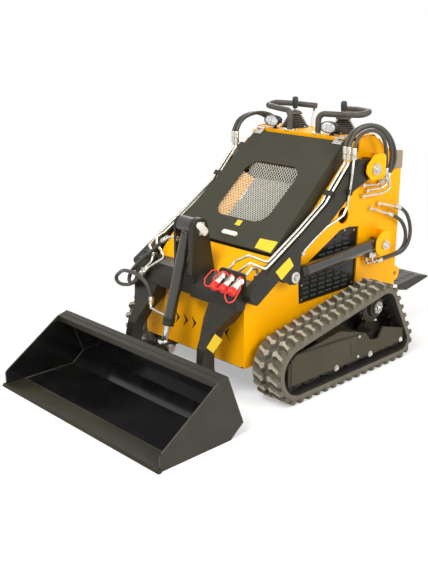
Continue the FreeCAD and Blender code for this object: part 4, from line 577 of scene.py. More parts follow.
def make_lugs(shape):
    """Slanted blocks with a broad inner end, tapering to a worn pale top."""
    single = bmesh.new()
    verts = chain(single, [(x, y, 0) for x, y in LUG_PLAN])
    foot = bmesh.ops.contextual_create(single, geom=verts)["faces"][0]
    top = bmesh.ops.extrude_face_region(single, geom=[foot], use_keep_orig=False)["geom"]
    top_verts = only(top, bmesh.types.BMVert)
    bmesh.ops.translate(single, verts=top_verts, vec=(0, 0, LUG_HIGH + 0.001))
    bmesh.ops.scale(single, verts=[vert for vert in single.verts if vert not in top_verts],
        vec=(1.07, 1.35, 1))
    bmesh.ops.recalc_face_normals(single, faces=single.faces)
    caps = [face for face in single.faces if face.normal.z > 0.9]
    rim = [edge for face in caps for edge in face.edges]
    ease(single, rim, 0.0016, segments=1)
    for face in single.faces:
        face.material_index = 1 if face.normal.z > 0.9 else 0
    mesh = bpy.data.meshes.new("lug")
    single.to_mesh(mesh)
    single.free()
    for column, half_turns in LUG_COLUMNS:
        for index in range(LUG_COUNT):
            spot = loop_spot(column, index) @ turn(180 * half_turns, "Z") @ at(0, 0,
                -LUG_HIGH - 0.001)
            mesh.transform(spot)
            shape.from_mesh(mesh)
            mesh.transform(spot.inverted())
    bpy.data.meshes.remove(mesh)


def make_guides(shape, x):
    """Guide teeth on the inside of the band, which keep it on its rollers."""
    for index in range(LUG_COUNT):
        spot = loop_spot(x, index + 0.5) @ at(0, 0, -TRACK_DEEP - 0.009)
        done = set(shape.faces)
        for offset in (-GUIDE_HALF_GAP, GUIDE_HALF_GAP):
            bmesh.ops.create_cone(shape, cap_ends=True, segments=4, radius1=0.006, radius2=0.011,
                depth=GUIDE_HIGH, matrix=spot @ at(offset, 0, 0) @ turn(45, "Z"))
        tint(shape, done, 2)


for side, word in SIDES:
    track_shape = bmesh.new()
    make_band(track_shape, TRACK_FAR, TRACK_NEAR)
    make_lugs(track_shape)
    make_guides(track_shape, (TRACK_NEAR + TRACK_FAR) / 2)
    if side < 0:
        bmesh.ops.scale(track_shape, vec=(-1, 1, 1), verts=track_shape.verts)
    track = piece("rubber_track_" + word, track_shape, [track_rubber, lug_rubber, dark_rubber_and_painted_shade],
        "chassis")
    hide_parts("track_" + word)

# %% [markdown]
# ## Track frames and drive sprockets
# The frame plates carry zinc bolts for the idler tensioner and the rollers. A
# ring of bolts holds each sprocket to its motor.

# %% Bolts of the undercarriage
SPROCKET, PLATE_FACE, HUB_FACE, TOOTH_COUNT = wheels[2][0], 0.5035, 0.47, 14
SLOT_COUNT, SLOT_PITCH, SLOT_LONG = 13, 0.058, 0.038
for side, word in SIDES:
    bolts = bmesh.new()
    for y, z, size in mm((39, 92, 10), (289, 91, 10), (531, 98, 9), (202, 199, 5), (198, 103, 5)):
        hexagon(bolts, size, size * 0.9, facing_x(side, 0.505, y, z))
    for dy, dz in circle_of(8, 0.022):
        hexagon(bolts, 0.0055, 0.006, facing_x(side, HUB_FACE, SPROCKET.x + dy, SPROCKET.y + dz))
    turned(bolts, mm((0, 0), (12, 0), (12, 7), (8, 10), (0, 10)),
        facing_x(side, HUB_FACE, *SPROCKET))
    piece("undercarriage_bolts_" + word, bolts, [zinc], "chassis")

    teeth = bmesh.new()
    turned(teeth, mm((28, 0), (34, 0), (34, 8), (28, 9), (0, 9)),
        facing_x(side, 0.4615, *SPROCKET))
    turned(teeth, mm((45, 0), (66, 0), (66, 3), (60, 6), (50, 6), (45, 3)),
        facing_x(side, 0.4365, *SPROCKET))
    for index in range(TOOTH_COUNT):
        spin = facing_x(side, 0.412, *SPROCKET) @ turn(360 * index / TOOTH_COUNT, "Z")
        sheet_of(teeth, mm((70, -12), (78, -11), (87, -4), (87, 4), (78, 11), (70, 12)), 0.02,
            spin, 0.0015)
    piece("sprocket_teeth_" + word, teeth, [engine_grey], "chassis")

    # Dark strips along the edges and folds of the frame plate, and a row of dark slots, are
    # painted shade.
    trims = bmesh.new()
    plate_face = side_plane(side, PLATE_FACE)
    for band in (mm((-276, 70), (-264, 68), (-264, 228), (-272, 232)),
        mm((-262, 232.5), (77, 224), (239, 206.2), (239, 209.2), (77, 227.5), (-262, 236)),
        mm((136, 185), (138.5, 186), (144.5, 152), (150.5, 118), (148, 117), (141.8, 152))):
        sheet_of(trims, band, 0.0024, plate_face)
    for index in range(SLOT_COUNT):
        y = -0.235 + index * SLOT_PITCH
        sheet_of(trims, rounded(box(y, 0.0835, y + SLOT_LONG, 0.092), 0.003), 0.002, plate_face)
    piece("frame_slots_" + word, trims, [dark_rubber_and_painted_shade], "chassis")
    bracket = bmesh.new()
    sheet_of(bracket, mm((205, 120), (470, 120), (500, 235), (440, 330), (330, 345), (240, 265),
        (205, 235)), 0.006, side_plane(side, PLATE_FACE - 0.17))
    piece("motor_bracket_" + word, bracket, [dark_rubber_and_painted_shade], "chassis")

# %% [markdown]
# ## Hydraulic hoses
# Each hose is a rubber tube that bends in one easy curve between two crimped
# ferrules. Its route is a NURBS spline, which is how a springy hose really
# lies. The spline is turned into a mesh, and the ferrules at its two ends ride
# on the bodies the hose joins.

# %% Hoses
HOSE_RADIUS = 0.009


def hose(name, points):
    """Lays a hose along the route, from a fitting on one body to a fitting on another."""
    curve = bpy.data.curves.new(name, "CURVE")
    curve.dimensions = "3D"
    curve.resolution_u = 8
    spline = curve.splines.new("NURBS")
    spline.points.add(len(points) - 1)
    for knot, point in zip(spline.points, points):
        knot.co = (*point, 1)
    spline.order_u = 3
    spline.use_endpoint_u = True
    holder = bpy.data.objects.new(name + "_route", curve)
    middle_line = bpy.data.meshes.new_from_object(holder)
    curve.bevel_depth, curve.bevel_resolution, curve.use_fill_caps = HOSE_RADIUS, 5, True
    mesh = bpy.data.meshes.new_from_object(holder)
    mesh.name = name
    mesh.materials.clear()
    mesh.materials.append(hose_rubber)
    mesh.shade_smooth()
    bpy.data.objects.remove(holder)
    bpy.data.meshes.remove(middle_line)
    made = add(name, mesh)
    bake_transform(made)
    return made


FERRULES = {}


def fitted(name, side, route, first_body, first_tube, last_body, last_tube):
    """A hose with a ferrule towards the tube at each end; a side of -1 mirrors it all."""
    first_tube, last_tube, *route = [(side * x, y, z) for x, y, z in (*mm(first_tube, last_tube),
        *route)]
    FERRULES.setdefault(first_body, []).append((first_tube, route[0]))
    FERRULES.setdefault(last_body, []).append((last_tube, route[-1]))
    return hose(name, route)


OUTER_ARCH = mm((342, 246, 1048), (342, 262, 1084), (343, 296, 1110), (344, 353, 1127),
    (345, 427, 1129), (345, 505, 1109), (345, 567, 1069), (345, 612, 1015), (345, 630, 955),
    (346, 610, 898), (345, 556, 864))
MIDDLE_ARCH = mm((364, 246, 1048), (364, 262, 1086), (364, 300, 1112), (364, 360, 1127),
    (364, 420, 1125), (364, 478, 1103), (364, 530, 1063), (364, 563, 1013), (364, 572, 955),
    (363, 559, 893))
INNER_ARCH = mm((385, 256, 1044), (385, 272, 1084), (385, 314, 1108), (385, 374, 1113),
    (385, 436, 1097), (385, 478, 1059), (385, 498, 1001), (383, 507, 925))
OUTER_LIFT = mm((371, 656, 711), (371, 700, 690), (371, 740, 640), (371, 762, 572),
    (371, 745, 512), (371, 695, 481), (371, 626, 477), (371, 526, 476))
INNER_LIFT = mm((352, 622, 677), (352, 680, 652), (352, 728, 608), (352, 751, 555),
    (352, 742, 508), (352, 700, 478), (352, 626, 471), (352, 532, 471))
UPPER_TILT = mm((-250, -454, 470), (-276, -466, 438), (-308, -470, 416), (-334, -470, 424),
    (-330, -462, 462), (-292, -454, 508), (-258, -436, 548), (-200, -418, 596),
    (-152, -413.7, 640))
LOWER_TILT = mm((-274, -454, 458), (-298, -462, 428), (-360, -446, 393), (-437, -446, 380),
    (-464, -450, 408), (-415, -452, 450), (-335, -486, 480), (-245, -488, 482), (-190, -486, 458),
    (-163, -484, 425), (-153, -484, 392))
OUTER_ENDS = ("lift_arms", (342, 246, 992), "chassis", (341, 516, 844))
MIDDLE_ENDS = ("lift_arms", (364, 246, 992), "chassis", (361, 554, 858))
INNER_ENDS = ("lift_arms", (385, 256, 992), "chassis", (378, 511, 890))
arches = [fitted("arch_hose_1", 1, OUTER_ARCH, *OUTER_ENDS),
    fitted("arch_hose_2", 1, MIDDLE_ARCH, *MIDDLE_ENDS), fitted("arch_hose_3", 1, INNER_ARCH,
    *INNER_ENDS), fitted("arch_hose_4", -1, OUTER_ARCH, *OUTER_ENDS),
    fitted("arch_hose_5", -1, MIDDLE_ARCH, *MIDDLE_ENDS)]
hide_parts("arch_hoses")
for side, word in SIDES:
    barrel = "lift_barrel_" + word
    outer = fitted("lift_hose_outer_" + word, side, OUTER_LIFT, "chassis", (366, 620, 722),
        barrel, (371, 484, 475))
    fitted("lift_hose_inner_" + word, side, INNER_LIFT, "chassis", (350, 585, 689), barrel,
        (352, 490, 470))
    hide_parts("lift_hoses_" + word)
upper_tilt = fitted("tilt_hose_upper", 1, UPPER_TILT, "lift_arms", (-226, -443, 504),
    "tilt_barrel", (-114, -411, 662))
fitted("tilt_hose_lower", 1, LOWER_TILT, "lift_arms", (-251, -442, 497), "tilt_barrel",
    (-147, -489, 358))
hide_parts("tilt_hoses")

# %% [markdown]
# ## Crimped ferrules
# A ferrule is a zinc sleeve that a press has squeezed onto the hose in narrow
# bands, with a hexagon nut at the end that screws onto the steel tube. It is
# turned from a banded profile and given a six-sided collar.

# %% Ferrules
BANDS = 4


def ferrule(shape, tube_end, hose_end):
    """A banded sleeve towards the hose and a hexagon nut towards the steel tube."""
    place, long = pointing(tube_end, hose_end)
    bare, band = long * 0.42, long * 0.58 / BANDS
    grips = ribs(BANDS, bare, band, [(0.0112, 0.0006), (0.0119, 0.002), (0.0119, band - 0.002),
        (0.0112, band - 0.0006)])
    turned(shape, [(0.0098, long * 0.4), *grips, (0.0098, long + 0.001), (0.0092, long + 0.001)],
        place, 20)
    for low, radius, share in ((0.02, 0.0132, 0.16), (0.22, 0.0124, 0.13)):
        six_sided(shape, radius, long * share, place @ at(0, 0, long * (low + share / 2)))


for body, places in FERRULES.items():
    sleeves = bmesh.new()
    for tube_end, hose_end in places:
        ferrule(sleeves, tube_end, hose_end)
    piece("ferrules_" + body, sleeves, [tube_zinc], body, 30)
print("ferrules", sum(len(places) for places in FERRULES.values()))

# %% [markdown]
# ## Control levers
# Each lever comes out of a rubber bellows, which is a stack of rings that grow
# towards its foot, under a small umbrella that sheds the rain. The bellows, the
# steel stem and the moulded knob are all bodies of revolution.

# %% Levers
LEVER_X, LEVER_Y, DECK_TOP, LEVER_TOP = 0.152, 0.465, 1.07, 1.219
bellows_profile = mm((0, 1153), (10, 1153), (20, 1150), (30, 1143.5), (36.5, 1137), (37, 1134),
    (34, 1132), (26, 1131), (25, 1128))
bellows_profile += ribs(6, 1.127, -0.0088, mm((26.5, 0), (37.5, -2.2), (38.5, -3.8), (36.5, -5.2),
    (26.5, -6.2)), 0.0052)
bellows_profile += [*mm((61, 1074.5), (71, 1074), (72, 1071.5)), (0.072, DECK_TOP)]
bellows = bmesh.new()
levers = bmesh.new()
for side in (1, -1):
    turned(bellows, bellows_profile, at(side * LEVER_X, LEVER_Y, 0), 40)
    turned(levers, [(0.0045, 1.148), (0.0045, 1.166)], at(side * LEVER_X, LEVER_Y, 0), 16)
    done = set(levers.faces)
    turned(levers, [*mm((0, 1160), (10, 1160), (12.5, 1163), (13.5, 1175), (15, 1196),
        (14.8, 1206), (12, 1214), (7, 1218)), (0.0, LEVER_TOP)], at(side * LEVER_X, LEVER_Y, 0),
        24)
    tint(levers, done, 1)
    for dx, dy in circle_of(6, 0.0655):
        hexagon(levers, 0.0038, 0.004, at(side * LEVER_X + dx, LEVER_Y + dy, 1.0738))
rubber_bellows = piece("lever_bellows", bellows, [bellows_rubber.material], "chassis",
    50)
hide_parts("control_levers")
piece("lever_handles", levers, [zinc, plastic_black], "chassis", 40)

# %% [markdown]
# ## Work lamps
# Each lamp is an oval housing with a ribbed back and a lens of clear plastic
# moulded in small pillows that spread the light. The housing is turned as if it
# were round and then stretched sideways.

# %% Lamps
LAMP_X, LAMP_BACK, LAMP_Z, LAMP_STRETCH, LAMP_HEIGHT = 0.178, 0.372, 1.11, 1.5, 0.88
lens = Finish("lamp_lens")
pillows = lens.node("ShaderNodeTexVoronoi", {"feature": "F1"},
    {"Vector": lens.place, "Scale": 150.0, "Randomness": 0.15})
cloud = lens.noise(60, 3)
lens_clear = lens.set(
    Base_Color=lens.mix(lens.ramp(pillows * 0.5 + cloud, 0.35, 0.95), (0.95, 0.95, 0.91),
                        (0.34, 0.34, 0.32)),
    Metallic=0.2, Roughness=pillows * 0.2 + 0.08, Coat_Weight=1.0, Coat_Roughness=0.04,
    Normal=lens.bump(pillows, 0.6, 0.002))
lamp_shape = bmesh.new()
for side in (1, -1):
    place = (at(side * LAMP_X, LAMP_BACK, LAMP_Z) @ turn(90, "X")
        @ Matrix.Diagonal((LAMP_STRETCH, LAMP_HEIGHT, 1, 1)))
    profile = mm((0, 0), (16, 0))
    profile += ribs(4, 0.004, 0.008, mm((19.5, 0), (21.5, 2), (21.5, 4), (19.5, 6)), 0.0026)
    profile += mm((29, 38), (31.5, 42), (31.5, 52), (30.2, 53.8), (28.5, 53.8), (27.8, 50),
        (0, 48))
    turned(lamp_shape, profile, place, 40)
    done = set(lamp_shape.faces)
    turned(lamp_shape, mm((0, 54.2), (12, 53.8), (22, 52.5), (27.6, 50.5), (27.6, 49), (0, 49)),
        place, 40)
    tint(lamp_shape, done, 1)
    foot = at(side * LAMP_X, 0.352, DECK_TOP)
    turned(lamp_shape, mm((0, 0), (14, 0), (14, 3), (7.5, 4), (6.5, 16), (0, 16)), foot, 20)
    hexagon(lamp_shape, 0.005, 0.005, foot @ at(0.0, -0.01, 0.003))
work_lamps = piece("work_lamps", lamp_shape, [plastic_black, lens_clear], "chassis",
    40)
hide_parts("lamps")

# %% [markdown]
# ## Hood: mesh window, latch and labels
# The window is closed by expanded steel, which is cut and stretched into
# diamonds. It forms a shallow tray with a back, a left wall and a top wall. On
# each of the three, two families of thin bars cross, clipped to a rectangle, and
# a thin sheet stands behind them.

# %% Hood mesh
HOOD_LOW, HOOD_TOP = Vector((-0.202, 0.633)), Vector((0.325, 1.063))
hood_rise = HOOD_TOP - HOOD_LOW
HOOD_PLANE = at(0, *HOOD_LOW) @ leaning(*hood_rise, "X")
MESH_LEFT, MESH_RIGHT, MESH_LOW, MESH_HIGH, STRAND_PITCH = -0.174, 0.174, 0.131, 0.489, 0.0125
STRAND_LEAN, STRAND_WIDE, STRAND_THICK = 24, 0.003, 0.0012
TRAY_DEEP, TRAY_LEFT, TRAY_HIGH = 0.046, -0.118, 0.418


def clipped(direction, offset, bounds):
    """Start and end of a line across a rectangle, or None where it misses."""
    left, bottom, right, top = bounds
    sideways = Vector((-direction.y, direction.x))
    centre = Vector(((left + right) / 2, (bottom + top) / 2)) + sideways * offset
    start, end = -1.0, 1.0
    for axis, low, high in ((0, left, right), (1, bottom, top)):
        one, two = sorted(((low - centre[axis]) / direction[axis],
            (high - centre[axis]) / direction[axis]))
        start, end = max(start, one), min(end, two)
    return (centre + direction * start, centre + direction * end) if end - start > 0.004 else None


def diamonds(shape, plane, bounds):
    """Two crossing families of strands over a rectangle of the plane."""
    for lean, deep in ((54, 0.0), (-54, -STRAND_THICK)):
        direction = Vector((math.cos(math.radians(lean)), math.sin(math.radians(lean))))
        for index in range(-24, 25):
            ends = clipped(direction, index * STRAND_PITCH, bounds)
            if ends:
                middle = (ends[0] + ends[1]) / 2
                bar = Matrix.Diagonal(((ends[1] - ends[0]).length, STRAND_WIDE, STRAND_THICK, 1))
                place = (plane @ at(*middle, deep) @ turn(lean, "Z") @ turn(STRAND_LEAN, "X")
                    @ bar)
                bmesh.ops.create_cube(shape, size=1, matrix=place)


tray = HOOD_PLANE @ at(0, 0, -TRAY_DEEP)
wall_run = Vector((TRAY_LEFT - MESH_LEFT + 0.006, TRAY_DEEP - 0.006))
top_run = Vector((MESH_HIGH - TRAY_HIGH - 0.01, TRAY_DEEP - 0.006))
left_wall = tray @ at(TRAY_LEFT, 0, 0) @ leaning(*wall_run, "Y")
top_wall = tray @ at(0, TRAY_HIGH - 0.004, 0) @ leaning(*top_run, "X")
walls = [(tray, (TRAY_LEFT, MESH_LOW, MESH_RIGHT, TRAY_HIGH)),
    (left_wall, (-wall_run.length, MESH_LOW, 0.0, TRAY_HIGH - 0.004)),
    (top_wall, (MESH_LEFT + 0.004, 0.0, MESH_RIGHT, top_run.length))]
strands = bmesh.new()
backs = bmesh.new()
for index, (plane, bounds) in enumerate(walls):
    diamonds(strands, plane, bounds)
    done = set(backs.faces)
    sheet_of(backs, box(*bounds), 0.001, plane @ at(0, 0, -0.012))
    tint(backs, done, index)
mesh_window = piece("hood_strands", strands, [mesh_steel], "hood")
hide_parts("hood_mesh")
filter_grey = paint("filter_grey", (0.115, 0.108, 0.088), (0.19, 0.18, 0.15), 0.6, dusty=0.7)
piece("air_box", backs, [filter_grey, body_yellow, dark_rubber_and_painted_shade], "hood")


# %% Hood fittings and labels
def plate_on(shape, outline, radius, thick, place, edge=0.0):
    """A thin plate with rounded corners, standing on the plane's local XY."""
    return sheet_of(shape, rounded(outline, radius), thick, place, edge)


LATCH_HIGH = 0.0072
latch = bmesh.new()
plate_on(latch, box(-0.0195, 0.0385, 0.0735, 0.0615), 0.0112, LATCH_HIGH, HOOD_PLANE, 0.0016)
turned(latch, mm((0, 0), (5.5, 0), (5.5, 1), (4, 1.8), (0, 1.8)),
    HOOD_PLANE @ at(0.06, 0.05, LATCH_HIGH), 20)
latch_cream = paint("latch_cream", (0.72, 0.7, 0.62), (0.5, 0.48, 0.42), 0.32, peel=0.03)
piece("hood_latch_cover", latch, [latch_cream], "hood")

LABEL_THICK = 0.0008
hood_labels = bmesh.new()
plate_on(hood_labels, box(0.016, 0.1, 0.048, 0.13), 0.002, LABEL_THICK, HOOD_PLANE)
plate_on(hood_labels, mm((212, 10), (309, 4), (309, 66), (205, 62)), 0.003, LABEL_THICK,
    HOOD_PLANE)
piece("hood_labels", hood_labels, [label_yellow], "hood")
arm_labels = bmesh.new()
for x, outline in ((0.384, mm((-159, 623), (-131, 581), (-207, 532), (-246, 576))),
    (0.26, mm((-530, 276), (-491, 240), (-437, 287), (-480, 326)))):
    plate_on(arm_labels, outline, 0.002, LABEL_THICK, side_plane(1, x))
piece("arm_labels", arm_labels, [label_yellow], "lift_arms")
hood_screws = bmesh.new()
for side in (1, -1):
    for x in (0.236, 0.262):
        dome(hood_screws, HOOD_PLANE @ at(side * x, 0.652, 0.005), 0.005, 0.0045, 0.0016, 0.002,
            0.0022)
piece("hinge_rivets", hood_screws, [zinc], "hood")

# %% [markdown]
# ## Pins and keepers
# A pin that carries a cylinder or an arm is a steel bar. Its outer end has a
# zinc head, and a small keeper plate with a bolt stops it from turning.

# %% Pin heads
PIVOT, LIFT_BASE, LIFT_EYE = mm((397, 934), (500, 560), (-122, 525))
TILT_TOP, TILT_EYE = (-0.39, 0.737), (-0.545, 0.217)
KEEPER_X, KEEPER_TILT = 0.411, -18


def keeper(shape, side, x, centre, tilt):
    """Round pin end with a rounded keeper plate and its bolt."""
    plane = side_plane(side, x, *centre) @ turn(tilt, "Z")
    plate_on(shape, mm((-24, -16.5), (31, -13), (31, 13), (-24, 16.5)), 0.01, 0.003, plane, 0.0008)
    turned(shape, mm((0, 3), (13.5, 3), (13.5, 6.5), (11.8, 8.5), (5, 8.5), (3, 7), (0, 7)),
        plane, 28)
    hexagon(shape, 0.0055, 0.005, plane @ at(0.021, 0, 0.003))


for side, word in SIDES:
    keepers = bmesh.new()
    for centre in (PIVOT, LIFT_BASE):
        keeper(keepers, side, KEEPER_X, centre, KEEPER_TILT)
    piece("tower_keepers_" + word, keepers, [zinc], "chassis", 30)
    heads = bmesh.new()
    turned(heads, mm((0, 0), (26.2, 0), (26.2, 6), (24, 8.5), (14, 9.5), (13, 8.5), (0, 8.5)),
        side_plane(side, 0.3845, *LIFT_EYE), 32)
    hexagon(heads, 0.0075, 0.007, side_plane(side, 0.393, *LIFT_EYE))
    piece("lift_eye_heads_" + word, heads, [zinc], "lift_arms", 30)

flag = bmesh.new()
flag_plane = side_plane(1, 0.078, TILT_TOP[0] + 0.003, TILT_TOP[1] - 0.003) @ turn(-47, "Z")
plate_on(flag, mm((-36, -14), (37, -18), (37, 18), (-36, 16)), 0.015, 0.0098, flag_plane, 0.002)
turned(flag, mm((0, 9.6), (6, 9.6), (5.5, 11), (3, 12.2), (0, 12.4)),
    flag_plane @ at(0.022, 0, 0), 18)
piece("tilt_pin_flag", flag, [latch_cream], "lift_arms")

# %% [markdown]
# ## Cylinders
# A hydraulic cylinder is a painted tube. A turned gland is screwed into its open
# end with a wiper ring round the chromed rod, and a weld bead joins its closed
# end to the eye.


# %% Glands and welds
def cylinder_trim(name, x, base, eye, bore, rod, start, nose, ring, body):
    """Weld bead at the base, gland with a groove and a wiper at the mouth."""
    place, reach = pointing((x, *base), (x, *eye))
    mouth = reach - nose - ring
    trim = bmesh.new()
    weld = mm((-3, 0), (2, 1), (2.8, 4), (1.5, 8), (-2, 9))
    gland = mm((-2, -34), (1.8, -33), (1.8, -13), (-0.5, -11), (-0.5, -8), (1.2, -7), (0.8, 1.5),
        (-4, 4))
    wiper = mm((2, 4), (0.6, 2))
    turned(trim, shifted(weld, bore, start), place, 36)
    turned(trim, shifted(gland, bore, mouth) + shifted(wiper, rod, mouth), place, 36)
    piece(name, trim, [frame_black], body, 30)


for side, word in SIDES:
    cylinder_trim("lift_gland_" + word, side * 0.36, LIFT_BASE, LIFT_EYE, 0.029, 0.013, 0.03,
        0.032, 0.026, "lift_barrel_" + word)
cylinder_trim("tilt_gland", 0.0, TILT_TOP, TILT_EYE, 0.026, 0.014, 0.034, 0.07, 0.024,
    "tilt_barrel")

# %% [markdown]
# ## Quick couplers
# Three couplers stand side by side under the bracket. Each has a hexagon body,
# a sliding sleeve with grip grooves, and a soft red dust cap on its mouth.

# %% Couplers and caps
COUPLER_XS, COUPLER_REAR, COUPLER_HEADING = (0.225, 0.278, 0.329), (-0.383, 0.566), 213.4
heading = math.radians(COUPLER_HEADING)
coupler_way = Vector((0, math.cos(heading), math.sin(heading)))
CAP_START = 0.0655
couplers = bmesh.new()
caps = bmesh.new()
for x in COUPLER_XS:
    place = at(x, *COUPLER_REAR) @ coupler_way.to_track_quat("Z", "X").to_matrix().to_4x4()
    profile = mm((0, 0), (12.5, 0), (12.5, 6), (16, 7), (17.2, 9), (17.2, 17), (15, 19), (15, 30))
    profile += ribs(3, 0.031, 0.0055, mm((17.6, 0), (17.6, 3.2), (16, 4), (16, 5)))
    profile += mm((17.8, 49), (17.8, 72), (16.6, 75), (16.6, 88), (0, 88))
    turned(couplers, profile, place, 32)
    six_sided(couplers, 0.0182, 0.012, place @ at(0, 0, 0.0245))
    cap_profile = mm((17.2, -2), (19.6, 0), (20.4, 3))
    cap_profile += ribs(3, 0.005, 0.005, mm((20.4, 0), (19, 1.2), (19, 2.2), (20.2, 3.4)))
    cap_profile += mm((19.6, 24), (16.5, 27.5), (13.5, 28.5), (12.5, 26.5), (0, 26.2))
    turned(caps, shifted(cap_profile, 0, CAP_START), place, 32)
    turned(caps, mm((17.6, 8.8), (18.6, 9.2), (19, 11), (18.6, 12.8), (17.6, 13.2)), place, 28)
new_couplers = piece("coupler_bodies", couplers, [zinc], "lift_arms", 30)
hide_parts("couplers")
new_caps = piece("dust_caps", caps, [cap_red], "lift_arms", 40)
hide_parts("coupler_caps")

# %% [markdown]
# ## Front panel
# Chevrons are cut through the front panel, and a dark sheet of painted shade
# stands behind it, which is why they look black; their cut walls are painted
# dark as shade too. The same sheet has a disc of painted shade behind the round
# hole of each side plate. An outline and its holes are drawn as loops of
# edges; one fill makes the face between them, and an extrusion gives it walls.


# %% Panel with chevrons
def pierced(shape, outline, holes, thick, place):
    """A flat outline with holes in it, given a thickness along local Z."""
    before = set(shape.verts)
    edges = []
    for loop in [outline, *holes]:
        verts = chain(shape, [(x, y, 0) for x, y in loop])
        bmesh.ops.contextual_create(shape, geom=[verts[0], verts[-1]])
        edges += [edge for edge in shape.edges if edge.verts[0] in verts
            and edge.verts[1] in verts]
    filled = bmesh.ops.triangle_fill(shape, edges=edges, use_beauty=True, use_dissolve=False,
        normal=(0, 0, 1))["geom"]
    grown = bmesh.ops.extrude_face_region(shape, geom=only(filled, bmesh.types.BMFace))["geom"]
    bmesh.ops.translate(shape, verts=only(grown, bmesh.types.BMVert), vec=(0, 0, thick))
    bmesh.ops.transform(shape, matrix=place, verts=fresh(shape, before))


def chevron(tip, height, way):
    return [(tip, height), (tip - way * 0.034, height + 0.03),
        (tip - way * 0.018, height - 0.003), (tip - way * 0.035, height - 0.036)]


FRONT = turn(90, "X")
PANEL_Y, PANEL_THICK = -0.367, 0.005
panel = bmesh.new()
marks = [chevron(tip, 0.283, 1) for tip in (-0.085, -0.029, 0.027)] + [chevron(tip, 0.292, -1)
    for tip in (0.095, 0.15, 0.205)]
pierced(panel, rounded(box(-0.325, 0.155, 0.325, 0.44), 0.024)[:10]
    + [(0.325, 0.44), (-0.325, 0.44)], marks, PANEL_THICK, at(0, PANEL_Y, 0) @ FRONT)
panel.normal_update()
# The walls of the chevron holes get the dark material: painted shade inside the cut-outs.
for face in panel.faces:
    centre = face.calc_center_median()
    if abs(face.normal.y) < 0.5 and abs(centre.x) < 0.3 and 0.2 < centre.z < 0.35:
        face.material_index = 1
new_panel = piece("chevron_panel", panel, [body_yellow, dark_rubber_and_painted_shade], "chassis")
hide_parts("front_panel")
# A dark sheet of painted shade behind the chevrons, and a disc of painted shade behind each side
# plate's round hole.
shade_liner = bmesh.new()
plate_on(shade_liner, box(-0.15, 0.23, 0.29, 0.33), 0.008, 0.0004, at(0, -0.3665, 0) @ FRONT)
for side in (1, -1):
    disc(shade_liner, 0.0395, 0.001, side_plane(side, 0.3145, 0.205, 0.755), 24)
piece("chevron_shade_liner", shade_liner, [dark_rubber_and_painted_shade], "chassis")
screws = bmesh.new()
for side in (1, -1):
    for x, z in mm((285, 200), (285, 405), (205, 345), (235, 352)):
        dome(screws, at(side * x, PANEL_Y - PANEL_THICK, z) @ FRONT, 0.0052, 0.0046, 0.0018,
            0.0024, 0.0026)
piece("panel_screws", screws, [body_yellow], "chassis")

# %% [markdown]
# ## Side grilles
# Each side opening has a black sheet behind it with rows of short pressed
# louvres, so air reaches the engine and rain doesn't. A louvre is one small
# wedge over a dark slot, and it is repeated wherever it fits in the outline.

# %% Louvred grilles
GRILLE_MARGIN = 0.009
GRILLE_X, LOUVRE_LONG, LOUVRE_HIGH, LOUVRE_STEPS = 0.3135, 0.044, 0.01, (0.056, 0.0225)
GRILLE = mm((-20, 362), (388, 362), (394, 655), (325, 665), (257, 661), (37, 552), (-30, 470))


def inside(point, outline, margin):
    """True where the point lies in the convex outline, at least margin from its edges."""
    for index, corner in enumerate(outline):
        corner, following = Vector(corner), Vector(outline[(index + 1) % len(outline)])
        way = (following - corner).normalized()
        if way.cross(Vector(point) - corner) < margin:
            return False
    return True


grille_black = paint("grille_black", (0.007, 0.007, 0.007), (0.026, 0.025, 0.021), 0.24,
    peel=0.06, dusty=0.5, coat=0.3)
for side, word in SIDES:
    grille = bmesh.new()
    outline = [(y + math.copysign(GRILLE_MARGIN, y - 0.18), z
        + math.copysign(GRILLE_MARGIN, z - 0.5)) for y, z in GRILLE]
    sheet_of(grille, outline, 0.002, side_plane(side, GRILLE_X))
    count = 0
    for row in range(13):
        for column in range(7):
            y = 0.006 + column * LOUVRE_STEPS[0] + row % 2 * 0.004
            z = 0.378 + row * LOUVRE_STEPS[1]
            corners = box(y, z, y + LOUVRE_LONG, z + LOUVRE_HIGH)
            if all(inside(corner, GRILLE, 0.01) for corner in corners):
                count += 1
                wedge = at(side * (GRILLE_X + 0.0019), y, z) @ Matrix(
                    ((side, 0, 0, 0), (0, 0, 1, 0), (0, 1, 0, 0), (0, 0, 0, 1)))
                sheet_of(grille, mm((0, 0), (5.2, 1.2), (4.6, 3.4), (0, 10.5)), LOUVRE_LONG, wedge)
    grille_piece = piece("side_grille_" + word, grille, [grille_black], "chassis")
    if side > 0:
        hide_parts("side_grilles")
    grille_bolts = bmesh.new()
    for y, z in mm((300, 650), (6, 445), (372, 380), (6, 376), (372, 640)):
        dome(grille_bolts, side_plane(side, GRILLE_X + 0.002, y, z), 0.0055, 0.0048, 0.0022,
            0.002, 0.003)
    piece("grille_bolts_" + word, grille_bolts, [zinc], "chassis")
print("louvres on each side", count)

# %% [markdown]
# ## Bucket trim
# Three bolt holes along the cutting edge are thin discs of painted shade. Round
# beads follow the seams and edges that are worn or welded, painted paler as wear
# and as painted highlight, and a crease along the top lip is a strip of painted shade.

# %% Bucket trim
# Each hole is a thin dark disc of painted shade.
bucket_holes = bmesh.new()
for x in (-0.254, -0.008, 0.238):
    turned(bucket_holes, mm((0, 0), (5.8, 0), (5, 0.4), (0, 0.4)), at(x, -1.02, 0.012), 18)
piece("bucket_edge_holes", bucket_holes, [dark_rubber_and_painted_shade], "bucket", 40)


def bar_between(shape, start, end, radius):
    """A straight round bead between two points."""
    place, long = pointing(start, end)
    disc(shape, radius, long, place, 8)


